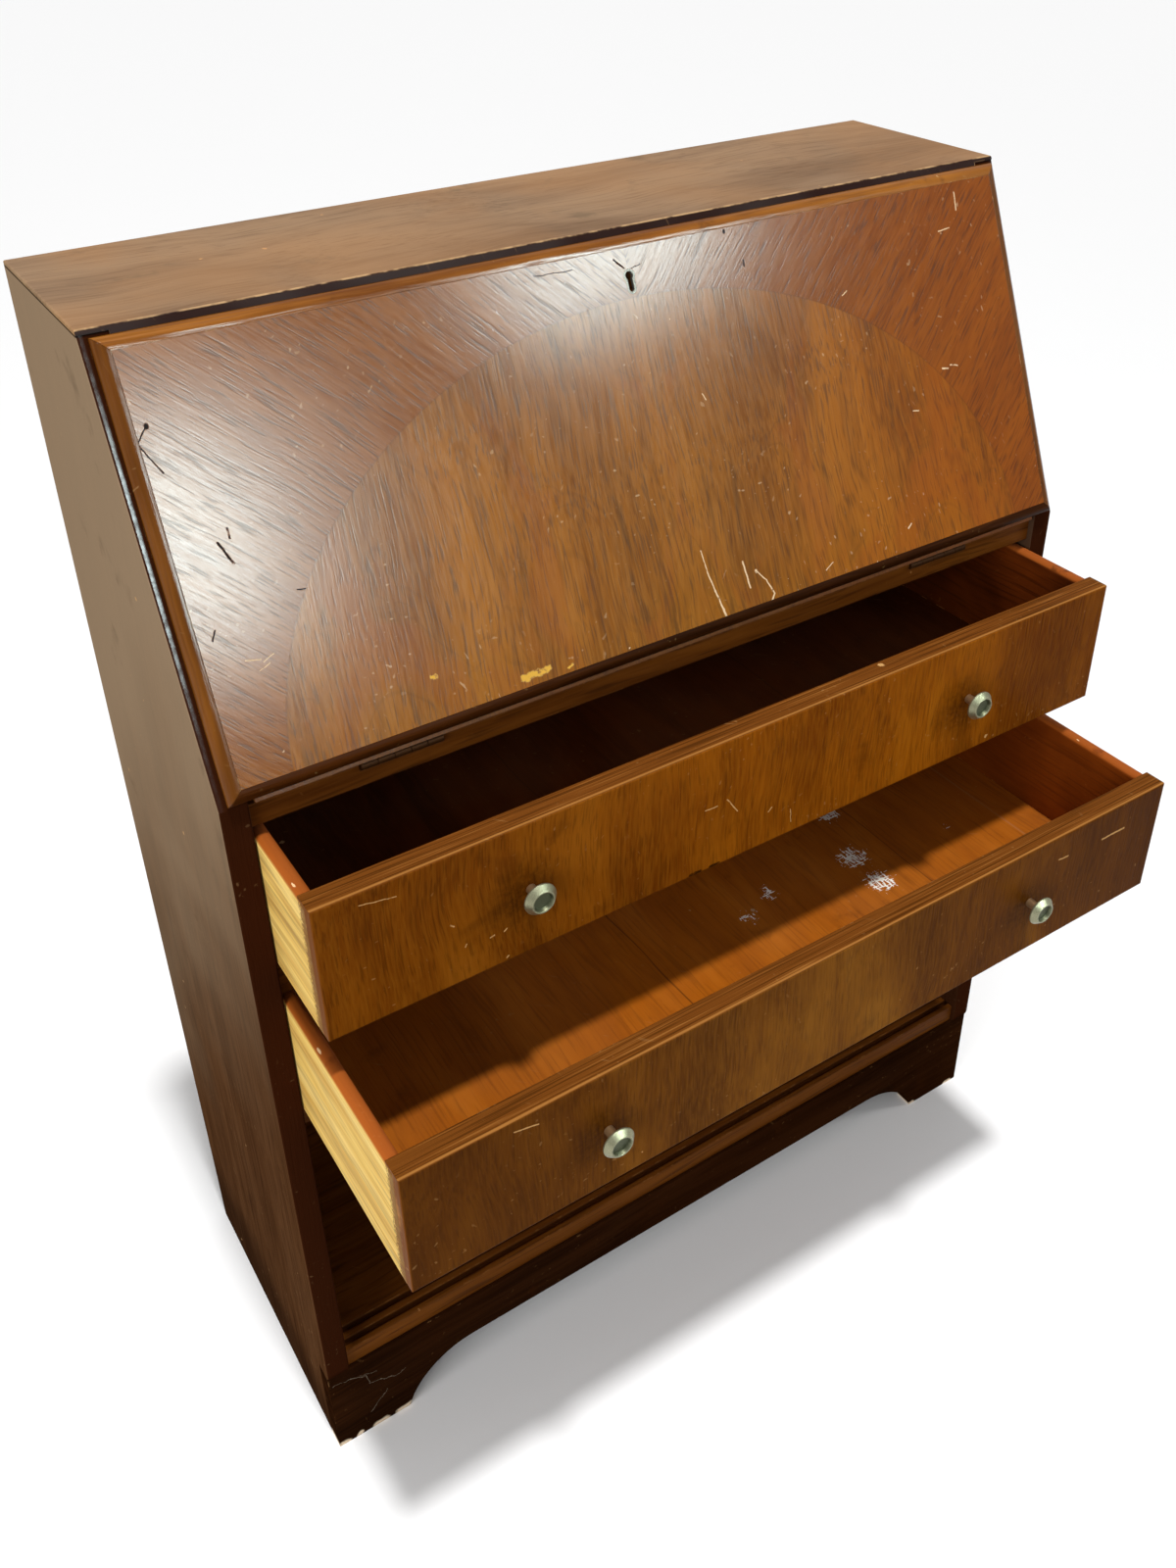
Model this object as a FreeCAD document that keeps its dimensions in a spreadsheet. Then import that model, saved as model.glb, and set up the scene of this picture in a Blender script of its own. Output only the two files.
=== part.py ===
import FreeCAD, Part
import math
import os
from types import SimpleNamespace
import Sketcher

# Drop-front bureau: a slope-fronted case with a hinged fall, two drawers and an open cupboard.
# Millimetres, +Z up, +X to the sitter's right, the front towards -Y.
# It stands with the fall closed and both drawers drawn out, as photographed.

driving_sizes = (
    # The case
    ("case_width", 762, "across the outer faces of the sides"),
    ("case_height", 1008, "floor to top surface"),
    ("side_depth", 294, "back face to the front edge of a side below the slope"),
    ("top_depth", 173, "back face to the front edge of the top surface"),
    ("slope_foot", 725, "height where the sloped front edge of a side starts"),
    ("side_thick", 20, "side board"),
    ("top_thick", 20, "top board with its lap"),
    ("top_lap", 3, "thickness of the lap that covers the ends of the sides"),
    ("back_thick", 5, "back panel"),
    ("back_rebate", 10, "how far the back panel is let into each side"),
    ("housing", 6, "how far a shelf or rail is housed into each side"),
    ("edge_round", 1.5, "worn arris of a board"),
    ("rail_setback", 6, "rails behind the front edges of the sides"),
    ("rail_depth", 45, "front to back of a rail"),
    ("bed_thick", 18, "writing bed and its front rail"),
    ("drawer_rail_thick", 34, "rail between the drawers"),
    ("runner_width", 20, "runner that carries a side of the upper drawer"),
    ("runner_thick", 20, "height of that runner"),
    ("ceiling_thick", 20, "board between the lower drawer and the cupboard"),
    ("bottom_thick", 20, "bottom board"),
    # Grooves for the cupboard's sliding doors
    ("groove_width", 6, "door groove"),
    ("groove_depth", 6, "depth of a door groove"),
    ("groove_lip", 5, "wood in front of the front groove"),
    ("groove_ridge", 6, "wood between the two grooves"),
    # The plinth
    ("plinth_height", 102.5, "floor to the bottom board"),
    ("plinth_thick", 18, "plinth board"),
    ("plinth_setback", 3, "plinth face behind the front edges of the sides"),
    ("side_end_rise", 8, "height of the rounded lower end of a side's front edge"),
    ("foot_width", 70, "bracket foot at the floor"),
    ("arch_height", 51, "floor to the straight edge between the feet"),
    ("arch_curve", 69, "width of the curve that rises from a foot"),
    ("glue_block", 32, "square section of a block behind the plinth"),
    # The fall
    ("fall_foot_gap", 2, "start of the slope to the bottom edge of the fall"),
    ("fall_head_gap", 5.8, "top edge of the fall to the end of the slope"),
    ("fall_end_inset", 6, "outer side face to the end of the fall"),
    ("fall_lip", 9, "thickness that stands proud of the sides"),
    ("fall_inner", 11, "thickness between the sides"),
    ("fall_drop", 3, "inner thickness reaching below the lip"),
    ("fall_top_clearance", 0.5, "inner thickness to the top board"),
    ("fall_seat_gap", 0.3, "closed lip to the edges of the sides"),
    ("lipping_width", 10, "mitred edging round the fall"),
    ("lipping_round", 7.5, "rounded front edge of that edging"),
    # Hinges between the fall and the writing bed
    ("hinge_station", 250, "centre of the case to the middle of a hinge"),
    ("hinge_length", 62.5, "hinge along its pin"),
    ("hinge_sink", 2, "pin centre below the writing surface"),
    ("stile_clearance", 0.5, "open fall to the front edges of the sides"),
    ("knuckle_radius", 3, "hinge knuckle"),
    ("knuckle_gap", 0.4, "play between neighbouring knuckles"),
    ("pin_radius", 1.5, "hinge pin"),
    ("pin_clearance", 0.05, "running clearance round a pin or pivot"),
    ("leaf_thick", 1.5, "hinge leaf"),
    ("leaf_reach", 27, "pin centre to the far edge of a leaf"),
    ("leaf_screw_reach", 17, "pin centre to the screws of a leaf"),
    ("leaf_screw_station", 20, "middle of a hinge to its outer screws"),
    ("recess_clearance", 0.3, "round a fitting let into the wood"),
    # Wood screws
    ("screw_radius", 1.4, "shank"),
    ("screw_head_radius", 2.7, "countersunk head"),
    ("screw_head_height", 1.3, "countersunk head"),
    ("screw_length", 8, "screw of a hinge or of the strike plate"),
    ("lock_screw_length", 16, "screw of the lock case"),
    # Slotted stays that hold the open fall
    ("stay_radius", 100, "hinge pin to a stay's pivot, and to its stud"),
    ("stay_lead", 5, "degrees from the pivot to the stud with the fall closed"),
    ("stay_width", 12, "stay arm"),
    ("stay_thick", 2.5, "stay arm"),
    ("stay_room", 4.5, "between an end of the fall and a side"),
    ("stay_play", 1, "stay arm to the side"),
    ("stud_radius", 2, "stud in the side, and pivot in the fall"),
    ("stud_head_radius", 5, "head of the stud"),
    ("stud_head_thick", 2, "head of the stud"),
    ("stud_depth", 10, "stud or pivot in the wood"),
    ("stud_play", 0.5, "arm to the stud's head, and pivot proud of the arm"),
    ("slot_clearance", 0.3, "stud to the edge of the slot"),
    # Lock of the fall
    ("keyhole_down", 29.5, "top edge of the fall to the round of the keyhole"),
    ("keyhole_radius", 3.1, "round of the keyhole"),
    ("keyhole_slot", 2.1, "half width of its slot"),
    ("keyhole_drop", 9.3, "round centre to the centre of the slot's end"),
    ("escutcheon_wall", 1.6, "metal thread round the keyhole"),
    ("escutcheon_depth", 3, "thread let into the fall"),
    ("lock_width", 62, "lock case"),
    ("lock_height", 40, "lock case along the slope"),
    ("lock_thick", 9, "lock case, let into the fall"),
    ("lock_wall", 2, "plates of the lock case"),
    ("lock_screw_inset", 6, "edges of the lock case to its screws"),
    ("bolt_width", 24, "lock bolt"),
    ("bolt_length", 24, "lock bolt"),
    ("bolt_travel", 8, "throw of the bolt"),
    ("bolt_clearance", 0.4, "bolt in its channel"),
    ("strike_thick", 1.5, "strike plate under the top board"),
    ("strike_margin", 14, "strike plate beyond its slot at each end"),
    ("strike_lead", 1.5, "strike plate in front of its slot"),
    ("strike_depth", 16, "strike plate, front to back"),
    ("mortise_rise", 9, "mortise above the strike plate's face"),
    # Drawers
    ("upper_opening", 117.5, "height of the upper drawer's opening"),
    ("lower_opening", 115, "height of the lower drawer's opening"),
    ("upper_headroom", 4.5, "above the upper drawer, so that the open fall clears it"),
    ("lower_headroom", 2, "above the lower drawer"),
    ("drawer_lift", 1, "drawer front above the rail under it"),
    ("drawer_play", 1, "each end of a drawer front"),
    ("drawer_back_room", 15, "shut drawer to the back panel"),
    ("upper_pull", 92.5, "upper drawer, drawn out as photographed"),
    ("lower_pull", 186, "lower drawer, drawn out as photographed"),
    ("front_thick", 19, "drawer front"),
    ("front_lap", 9, "thickness of the front that laps over the sides' ends"),
    ("drawer_side_thick", 11, "drawer side"),
    ("drawer_side_drop", 2, "top of a side below the top of the front"),
    ("drawer_side_round", 4.5, "rounded top edges of a drawer side"),
    ("drawer_back_thick", 10, "drawer back"),
    ("drawer_back_drop", 8, "top of the back below the top of the front"),
    ("drawer_bottom_thick", 4, "drawer bottom"),
    ("drawer_bottom_lift", 8, "underside of the bottom above the sides' lower edges"),
    ("drawer_groove", 5, "groove that holds the bottom"),
    ("runner_play", 0.3, "drawer side above what it slides on"),
    ("stop_width", 30, "drawer stop"),
    ("stop_depth", 12, "drawer stop, front to back"),
    ("stop_height", 5, "drawer stop"),
    ("stop_station", 150, "centre of the case to a drawer stop"),
    ("stop_play", 0.3, "shut drawer front to its stops"),
    # Knobs
    ("knob_station", 206, "centre of a drawer to a knob"),
    ("knob_projection", 17.5, "drawer face to the front ring of a knob"),
    ("shank_radius", 3.75, "knob shank"),
    ("shank_length", 12, "drawer face to the back of the knob head"),
    ("rim_radius", 12.5, "widest rim, at the back of the knob head"),
    ("rim_thick", 1.3, "that rim"),
    ("ring_radius", 8.9, "front ring of the knob"),
    ("dish_radius", 7.8, "mouth of the dish inside the ring"),
    ("dish_floor_radius", 6.4, "floor of the dish"),
    ("dish_depth", 2.6, "front ring to the floor of the dish"),
    ("knob_round", 0.4, "softened rims of a knob"),
    ("knob_screw_radius", 1.9, "machine screw that holds a knob"),
    ("knob_screw_reach", 9, "that screw inside the knob"),
    ("knob_screw_clearance", 0.1, "round that screw"),
    ("knob_screw_head", 4, "head radius"),
    ("knob_screw_head_thick", 2.4, "head"),
    # Pigeonholes in the writing compartment
    ("pigeonhole_height", 150, "bed to the top of the pigeonhole shelf"),
    ("pigeonhole_depth", 130, "front to back"),
    ("pigeonhole_board", 8, "boards of the pigeonholes"),
    ("pigeonhole_end_room", 10, "end board to the side, which leaves room for a stay"),
    # Pins of the back panel
    ("back_pin_radius", 1.2, "panel pin"),
    ("back_pin_length", 18, "panel pin"),
    ("back_pin_pitch", 200, "between panel pins"),
    ("back_pin_edge", 2.5, "panel pin to the panel's upright edge"),
)

# Cutters run this far past the faces they open.
beyond = 1

divider_count = 3
back_pin_count = 5
knuckle_count = 5

doc = FreeCAD.newDocument("bureau")
sheet = doc.addObject("Spreadsheet::Sheet", "sizes")
for row, (alias, number, meaning) in enumerate(driving_sizes, start=1):
    sheet.set(f"A{row}", alias)
    sheet.set(f"B{row}", str(number))
    sheet.setAlias(f"B{row}", alias)
    sheet.set(f"C{row}", meaning)
worked = doc.addObject("App::VarSet", "worked")
doc.recompute()


class Size:
    # A length worked out from the sheet: text is its expression, number its value now.
    def __init__(self, text, number):
        self.text = text
        self.number = number

    def __add__(self, other):
        other = as_size(other)
        return Size(f"({self.text} + {other.text})", self.number + other.number)

    def __sub__(self, other):
        other = as_size(other)
        return Size(f"({self.text} - {other.text})", self.number - other.number)

    def __mul__(self, other):
        other = as_size(other)
        return Size(f"({self.text} * {other.text})", self.number * other.number)

    def __truediv__(self, other):
        other = as_size(other)
        return Size(f"({self.text} / {other.text})", self.number / other.number)

    def __neg__(self):
        return self * -1

    def __radd__(self, other):
        return as_size(other) + self

    def __rsub__(self, other):
        return as_size(other) - self

    def __rmul__(self, other):
        return as_size(other) * self


def as_size(amount):
    if isinstance(amount, Size):
        return amount
    return Size(f"({amount})", float(amount))


def root(size):
    return Size(f"sqrt({size.text})", math.sqrt(size.number))


def sine(degrees):
    return Size(f"sin({degrees.text})", math.sin(math.radians(degrees.number)))


def cosine(degrees):
    return Size(f"cos({degrees.text})", math.cos(math.radians(degrees.number)))


def kept(name, size):
    # A worked-out size that several pieces share, held under its own name.
    worked.addProperty("App::PropertyFloat", name)
    worked.setExpression(name, size.text)
    doc.recompute()
    return Size(f"worked.{name}", size.number)


def bind(item, field, amount):
    item.setExpression(field, as_size(amount).text)


d = SimpleNamespace()
for alias, _, _ in driving_sizes:
    setattr(d, alias, Size(f"sizes.{alias}", float(sheet.get(alias))))

# Widths, heights and depths that the pieces share. A depth is measured forwards from the back face.
outer = kept("outer", d.case_width / 2)
inner = kept("inner", outer - d.side_thick)
housed = kept("housed", inner + d.housing)
rail_face = kept("rail_face", d.side_depth - d.rail_setback)
rail_back = kept("rail_back", rail_face - d.rail_depth)
plinth_face = kept("plinth_face", d.side_depth - d.plinth_setback)
plinth_back = kept("plinth_back", plinth_face - d.plinth_thick)
side_top = kept("side_top", d.case_height - d.top_lap)
top_floor = kept("top_floor", d.case_height - d.top_thick)
bottom_top = kept("bottom_top", d.plinth_height + d.bottom_thick)
back_plane = kept("back_plane", (rail_face + d.lower_pull + d.knob_projection) / 2)

# The slope: it leans back, and the fall lies on it.
slope_run = d.side_depth - d.top_depth
slope_rise = d.case_height - d.slope_foot
slope_length = kept("slope_length", root(slope_run * slope_run + slope_rise * slope_rise))
lean_sine = kept("lean_sine", slope_run / slope_length)
lean_cosine = kept("lean_cosine", slope_rise / slope_length)
lean = kept("lean", Size(f"asin({lean_sine.text}) / 1 deg", math.degrees(math.asin(lean_sine.number))))
swing = kept("swing", lean + 90)

# The hinge pin: it lets the open fall clear the front edges of the sides,
# and it sets the writing surface flush with the inner face of the open fall.
pin_in = kept("pin_in", d.fall_inner - d.hinge_sink)
pin_up = kept("pin_up", (d.fall_foot_gap - d.stile_clearance - pin_in * lean_cosine) / (1 + lean_sine))
pin_depth = kept("pin_depth", d.side_depth - pin_up * lean_sine - pin_in * lean_cosine)
pin_height = kept("pin_height", d.slope_foot + pin_up * lean_cosine - pin_in * lean_sine)

# Levels of the boards and rails, from the writing surface downwards.
bed_top = kept("bed_top", pin_height + d.hinge_sink)
bed_floor = kept("bed_floor", bed_top - d.bed_thick)
upper_floor = kept("upper_floor", bed_floor - d.upper_opening)
rail_floor = kept("rail_floor", upper_floor - d.drawer_rail_thick)
lower_floor = kept("lower_floor", rail_floor - d.lower_opening)
cupboard_ceiling = kept("cupboard_ceiling", lower_floor - d.ceiling_thick)

nodes = []


class Frame:
    # Where a group of pieces is placed: an origin, tipped back about X.
    def __init__(self, x, y, z, tip_sine=0, tip_cosine=1, tip=0):
        self.origin = (as_size(x), as_size(y), as_size(z))
        self.tip_sine = as_size(tip_sine)
        self.tip_cosine = as_size(tip_cosine)
        self.tip = as_size(tip)

    def point(self, x, y, z):
        y, z = as_size(y), as_size(z)
        return (
            self.origin[0] + x,
            self.origin[1] + y * self.tip_cosine + z * self.tip_sine,
            self.origin[2] - y * self.tip_sine + z * self.tip_cosine,
        )


case_frame = Frame(0, back_plane, 0)
fall_frame = Frame(0, back_plane - d.side_depth, d.slope_foot, lean_sine, lean_cosine, lean)


def place(item, frame, x=0, y=0, z=0):
    turn = FreeCAD.Rotation(FreeCAD.Vector(1, 0, 0), -frame.tip.number)
    item.Placement = FreeCAD.Placement(FreeCAD.Vector(), turn)
    for axis, amount in zip("xyz", frame.point(x, y, z)):
        bind(item, f"Placement.Base.{axis}", amount)
    if frame.tip.number:
        bind(item, "Placement.Rotation.Angle", -frame.tip)


def finish(item, label, frame, corner=(0, 0, 0)):
    item.Label = label
    place(item, frame, *corner)
    nodes.append(item)


plain = Frame(0, 0, 0)


def block(name, x, y, z, frame=plain):
    box = doc.addObject("Part::Box", name)
    for side, (low, high) in zip(("Length", "Width", "Height"), (x, y, z)):
        bind(box, side, as_size(high) - low)
    place(box, frame, x[0], y[0], z[0])
    return box


def board(label, x, y, z, frame):
    box = block(label, x, y, z, frame)
    box.Label = label
    nodes.append(box)
    return box


def rod(name, axis, radius, start, length):
    cylinder = doc.addObject("Part::Cylinder", name)
    bind(cylinder, "Radius", radius)
    bind(cylinder, "Height", length)
    heading = {"x": (1, 0, 0), "y": (0, 1, 0), "z": (0, 0, 1)}[axis]
    turn = FreeCAD.Rotation(FreeCAD.Vector(0, 0, 1), FreeCAD.Vector(*heading))
    cylinder.Placement = FreeCAD.Placement(FreeCAD.Vector(), turn)
    for field, amount in zip("xyz", start):
        bind(cylinder, f"Placement.Base.{field}", amount)
    return cylinder


def joined(name, pieces):
    fuse = doc.addObject("Part::MultiFuse", name)
    fuse.Shapes = pieces
    return fuse


def carved(name, base, tools):
    cut = doc.addObject("Part::Cut", name)
    cut.Base = base
    cut.Tool = tools[0] if len(tools) == 1 else joined(f"{name}_cutter", tools)
    doc.recompute()
    if cut.Shape.Volume > base.Shape.Volume - 1:
        raise RuntimeError(f"{name} was not cut")
    return cut


def group(name, pieces):
    compound = doc.addObject("Part::Compound", name)
    compound.Links = pieces
    return compound


def screw(name, point, turn, grow=0, length=None):
    # Countersunk, with its head's face at point; unturned, it points down.
    length = length or d.screw_length
    shank = rod(f"{name}_shank", "z", d.screw_radius + grow, (0, 0, -length), length)
    head = doc.addObject("Part::Cone", f"{name}_head")
    bind(head, "Radius1", d.screw_radius + grow)
    bind(head, "Radius2", d.screw_head_radius + grow)
    bind(head, "Height", d.screw_head_height)
    bind(head, "Placement.Base.z", -d.screw_head_height)
    whole = joined(name, [shank, head])
    whole.Placement = FreeCAD.Placement(FreeCAD.Vector(), FreeCAD.Rotation(FreeCAD.Vector(1, 0, 0), turn))
    for field, amount in zip("xyz", point):
        bind(whole, f"Placement.Base.{field}", amount)
    return whole


def new_body(label):
    return doc.addObject("PartDesign::Body", label)


def sketch_on(body, role, offset=0):
    plane = [item for item in body.Origin.OriginFeatures if item.Role == role][0]
    sketch = body.newObject("Sketcher::SketchObject", f"{body.Name}_sketch")
    sketch.AttachmentSupport = [(plane, "")]
    sketch.MapMode = "FlatFace"
    bind(sketch, "AttachmentOffset.Base.z", offset)
    return sketch


def pin_corner(sketch, geometry, end, corner):
    for kind, axis, amount in (("DistanceX", -2, corner[0]), ("DistanceY", -1, corner[1])):
        amount = as_size(amount)
        if amount.number == 0:
            sketch.addConstraint(Sketcher.Constraint("PointOnObject", geometry, end, axis))
            continue
        index = sketch.addConstraint(Sketcher.Constraint(kind, -1, 1, geometry, end, amount.number))
        sketch.setExpression(f"Constraints[{index}]", amount.text)


def arc_between(start, finish_at, radius, clockwise):
    middle = (start + finish_at) * 0.5
    chord = finish_at - start
    side = FreeCAD.Vector(-chord.y, chord.x, 0).normalize()
    reach = math.sqrt(radius ** 2 - (chord.Length / 2) ** 2)
    centre = middle + side * (-reach if clockwise else reach)
    first, last = (finish_at, start) if clockwise else (start, finish_at)
    angles = [math.atan2(end.y - centre.y, end.x - centre.x) for end in (first, last)]
    if angles[1] < angles[0]:
        angles[1] += 2 * math.pi
    return Part.ArcOfCircle(Part.Circle(centre, FreeCAD.Vector(0, 0, 1), radius), *angles)


def draw(sketch, corners):
    # Closed outline. A corner is (x, y), or (x, y, radius, clockwise) where an arc leaves it.
    first = sketch.GeometryCount
    points = [FreeCAD.Vector(as_size(c[0]).number, as_size(c[1]).number, 0) for c in corners]
    ends = []
    for index, corner in enumerate(corners):
        start, finish_at = points[index], points[(index + 1) % len(points)]
        if len(corner) == 2:
            sketch.addGeometry(Part.LineSegment(start, finish_at), False)
            ends.append((1, 2))
            continue
        radius, clockwise = corner[2:]
        curve = sketch.addGeometry(arc_between(start, finish_at, radius.number, clockwise), False)
        ends.append((2, 1) if clockwise else (1, 2))
        rule = sketch.addConstraint(Sketcher.Constraint("Radius", curve, radius.number))
        sketch.setExpression(f"Constraints[{rule}]", radius.text)
    for index, corner in enumerate(corners):
        after = (index + 1) % len(corners)
        joint = (first + index, ends[index][1], first + after, ends[after][0])
        sketch.addConstraint(Sketcher.Constraint("Coincident", *joint))
        pin_corner(sketch, first + index, ends[index][0], corner)


def rectangle(low_x, high_x, low_y, high_y):
    return [(low_x, low_y), (high_x, low_y), (high_x, high_y), (low_x, high_y)]


def circle(sketch, x, y, radius):
    x, y, radius = as_size(x), as_size(y), as_size(radius)
    centre = FreeCAD.Vector(x.number, y.number, 0)
    index = sketch.addGeometry(Part.Circle(centre, FreeCAD.Vector(0, 0, 1), radius.number), False)
    pin_corner(sketch, index, 3, (x, y))
    rule = sketch.addConstraint(Sketcher.Constraint("Radius", index, radius.number))
    sketch.setExpression(f"Constraints[{rule}]", radius.text)


def pad(body, sketch, length, reverse=False):
    feature = body.newObject("PartDesign::Pad", f"{body.Name}_pad")
    feature.Profile = sketch
    bind(feature, "Length", length)
    feature.Reversed = reverse
    doc.recompute()


def pocket(body, sketch, depth, reverse=False):
    before = body.Shape.Volume
    feature = body.newObject("PartDesign::Pocket", f"{body.Name}_pocket")
    feature.Profile = sketch
    bind(feature, "Length", depth)
    feature.Reversed = reverse
    doc.recompute()
    if body.Shape.Volume > before - 1:
        raise RuntimeError(f"{body.Name}: a pocket cut nothing")


def round_edges(body, radius, wanted):
    base = body.Tip
    names = [f"Edge{n}" for n, edge in enumerate(base.Shape.Edges, start=1) if wanted(edge)]
    feature = body.newObject("PartDesign::Fillet", f"{body.Name}_fillet")
    feature.Base = (base, names)
    bind(feature, "Radius", radius)
    doc.recompute()


def span(hand, near, far):
    # The same stretch of X on the left (-1) or on the right (1).
    near, far = as_size(near), as_size(far)
    return (near, far) if hand > 0 else (-far, -near)


def both(half):
    return (-half, half)


def close(first, second):
    return abs(first - second) < 0.01


def arc_radius(run, rise):
    # Radius of an arc that starts level, runs along for run and climbs by rise.
    return (run * run + rise * rise) / (2 * rise)


hands = ((-1, "left"), (1, "right"))


def slope_depth(height):
    return d.side_depth - (height - d.slope_foot) * slope_run / slope_rise


# Points that the fall, the stays and the case share, seen from the case and from the slope.
slope_in_case = Frame(0, -d.side_depth, d.slope_foot, lean_sine, lean_cosine, lean)
stud_spot = (pin_in + d.stay_radius * sine(d.stay_lead), pin_up + d.stay_radius * cosine(d.stay_lead))
stud_spot = slope_in_case.point(0, *stud_spot)
stud_y = kept("stud_y", stud_spot[1])
stud_z = kept("stud_z", stud_spot[2])
pivot_up = kept("pivot_up", pin_up + d.stay_radius)
fall_end = kept("fall_end", inner - d.stay_room)
fall_edge = kept("fall_edge", outer - d.fall_end_inset)
fall_head = kept("fall_head", slope_length - d.fall_head_gap)
keyhole_up = kept("keyhole_up", fall_head - d.keyhole_down)
fall_top = kept("fall_top", (top_floor - d.slope_foot - d.fall_top_clearance) / lean_cosine)
bolt_in = kept("bolt_in", d.fall_inner - d.lock_thick + d.lock_wall + d.bolt_clearance)
bolt_out = kept("bolt_out", d.fall_inner - d.lock_wall - d.bolt_clearance)
mortise_half = kept("mortise_half", d.bolt_width / 2 + d.bolt_clearance)
mortise_front = kept("mortise_front", slope_in_case.point(0, bolt_in, fall_top)[1] - d.bolt_clearance)
bolt_tip = slope_in_case.point(0, bolt_out, fall_top + d.bolt_travel)
mortise_back = kept("mortise_back", bolt_tip[1] + d.bolt_clearance)


def side(hand, label):
    body = new_body(label)
    end_round = arc_radius(d.side_end_rise, d.plinth_setback)
    outline = sketch_on(body, "YZ_Plane")
    draw(outline, [
        (0, 0),
        (-plinth_back, 0),
        (-plinth_back, d.plinth_height),
        (-plinth_face, d.plinth_height, end_round, True),
        (-d.side_depth, d.plinth_height + d.side_end_rise),
        (-d.side_depth, d.slope_foot),
        (-slope_depth(side_top), side_top),
        (0, side_top),
    ])
    pad(body, outline, d.side_thick, reverse=hand > 0)

    def sunk(depth, rectangles):
        sketch = sketch_on(body, "YZ_Plane", d.side_thick if hand < 0 else depth - d.side_thick)
        for corners in rectangles:
            draw(sketch, rectangle(*corners))
        pocket(body, sketch, depth)

    sunk(d.back_rebate, [(-d.back_thick, 0, d.plinth_height, side_top)])
    sunk(d.housing, [
        (-rail_face, -d.back_thick, bed_floor, bed_top),
        (-rail_face, -rail_back, rail_floor, upper_floor),
        (-rail_face, -d.back_thick, cupboard_ceiling, lower_floor),
        (-rail_face, -d.back_thick, d.plinth_height, bottom_top),
    ])
    hole = sketch_on(body, "YZ_Plane", d.side_thick if hand < 0 else d.stud_depth - d.side_thick)
    circle(hole, stud_y, stud_z, d.stud_radius + d.pin_clearance)
    pocket(body, hole, d.stud_depth)

    def on_front(point):
        depth = d.side_depth.number
        if point.z > d.slope_foot.number:
            depth = slope_depth(as_size(point.z)).number
        return close(-point.y, depth)

    def front_arris(edge):
        ends = [vertex.Point for vertex in edge.Vertexes]
        return all(on_front(end) for end in ends) and close(ends[0].x, ends[-1].x)

    round_edges(body, d.edge_round, front_arris)
    finish(body, label, case_frame, (hand * outer, 0, 0))


for hand, word in hands:
    side(hand, f"{word}_side")

# The top: a full-width lap over the ends of the sides, and the thicker part between them.
top = new_body("top_board")
lap = sketch_on(top, "YZ_Plane", -outer)
draw(lap, [
    (0, side_top),
    (-slope_depth(side_top), side_top),
    (-d.top_depth, d.case_height),
    (0, d.case_height),
])
pad(top, lap, d.case_width)
core = sketch_on(top, "YZ_Plane", -inner)
draw(core, [
    (-d.back_thick, top_floor),
    (-slope_depth(top_floor), top_floor),
    (-slope_depth(side_top), side_top),
    (-d.back_thick, side_top),
])
pad(top, core, 2 * inner)
strike_half = mortise_half + d.strike_margin
strike_front = mortise_front - d.strike_lead
recess = sketch_on(top, "XY_Plane", top_floor)
draw(recess, rectangle(*both(strike_half), strike_front, strike_front + d.strike_depth))
pocket(top, recess, d.strike_thick, reverse=True)
mortise = sketch_on(top, "XY_Plane", top_floor)
draw(mortise, rectangle(*both(mortise_half), mortise_front, mortise_back))
pocket(top, mortise, d.mortise_rise, reverse=True)
round_edges(top, d.edge_round, lambda edge: all(close(v.Z, d.case_height.number) for v in edge.Vertexes))
finish(top, "top_board", case_frame)

strike_y = (strike_front, strike_front + d.strike_depth)
plate = block("strike_blank", both(strike_half), strike_y, (top_floor, top_floor + d.strike_thick))
slot_z = (top_floor - beyond, top_floor + d.strike_thick + beyond)
slot = block("strike_slot", both(mortise_half), (mortise_front, mortise_back), slot_z)
spots = [
    (hand * (mortise_half + d.strike_margin / 2), strike_front + d.strike_depth / 2, top_floor)
    for hand, word in hands
]
sinks = [screw("strike_sink", spot, 180, d.pin_clearance) for spot in spots]
finish(carved("strike_cut", plate, [slot] + sinks), "strike_plate", case_frame)
strike_set = [screw("strike_screw", spot, 180) for spot in spots]
finish(group("strike_set", strike_set), "strike_screws", case_frame)

# The back panel, let into the sides and pinned.
panel_z = (d.plinth_height, side_top)
board("back_panel", both(inner + d.back_rebate), (-d.back_thick, 0), panel_z, case_frame)
pins = []
for hand, word in hands:
    for number in range(back_pin_count):
        across = hand * (inner + d.back_rebate - d.back_pin_edge)
        spot = (across, -d.back_pin_length, bottom_top + d.back_pin_pitch * number)
        pins.append(rod("back_pin", "y", d.back_pin_radius, spot, d.back_pin_length))
finish(group("back_pin_set", pins), "back_pins", case_frame)

# Boards and rails between the sides.
board("writing_bed", both(housed), (-rail_back, -d.back_thick), (bed_floor, bed_top), case_frame)
board("drawer_rail", both(housed), (-rail_face, -rail_back), (rail_floor, upper_floor), case_frame)
runners = []
for hand, word in hands:
    across = span(hand, inner - d.runner_width, inner)
    along = (-rail_back, -d.back_thick)
    runners.append(block("upper_runner", across, along, (upper_floor - d.runner_thick, upper_floor)))
finish(group("runner_set", runners), "upper_runners", case_frame)


def door_grooves(low, high):
    cutters = []
    for number in range(2):
        front = d.groove_lip + number * (d.groove_width + d.groove_ridge) - rail_face
        along = (front, front + d.groove_width)
        cutters.append(block("door_groove", both(housed + beyond), along, (low, high)))
    return cutters


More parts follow.
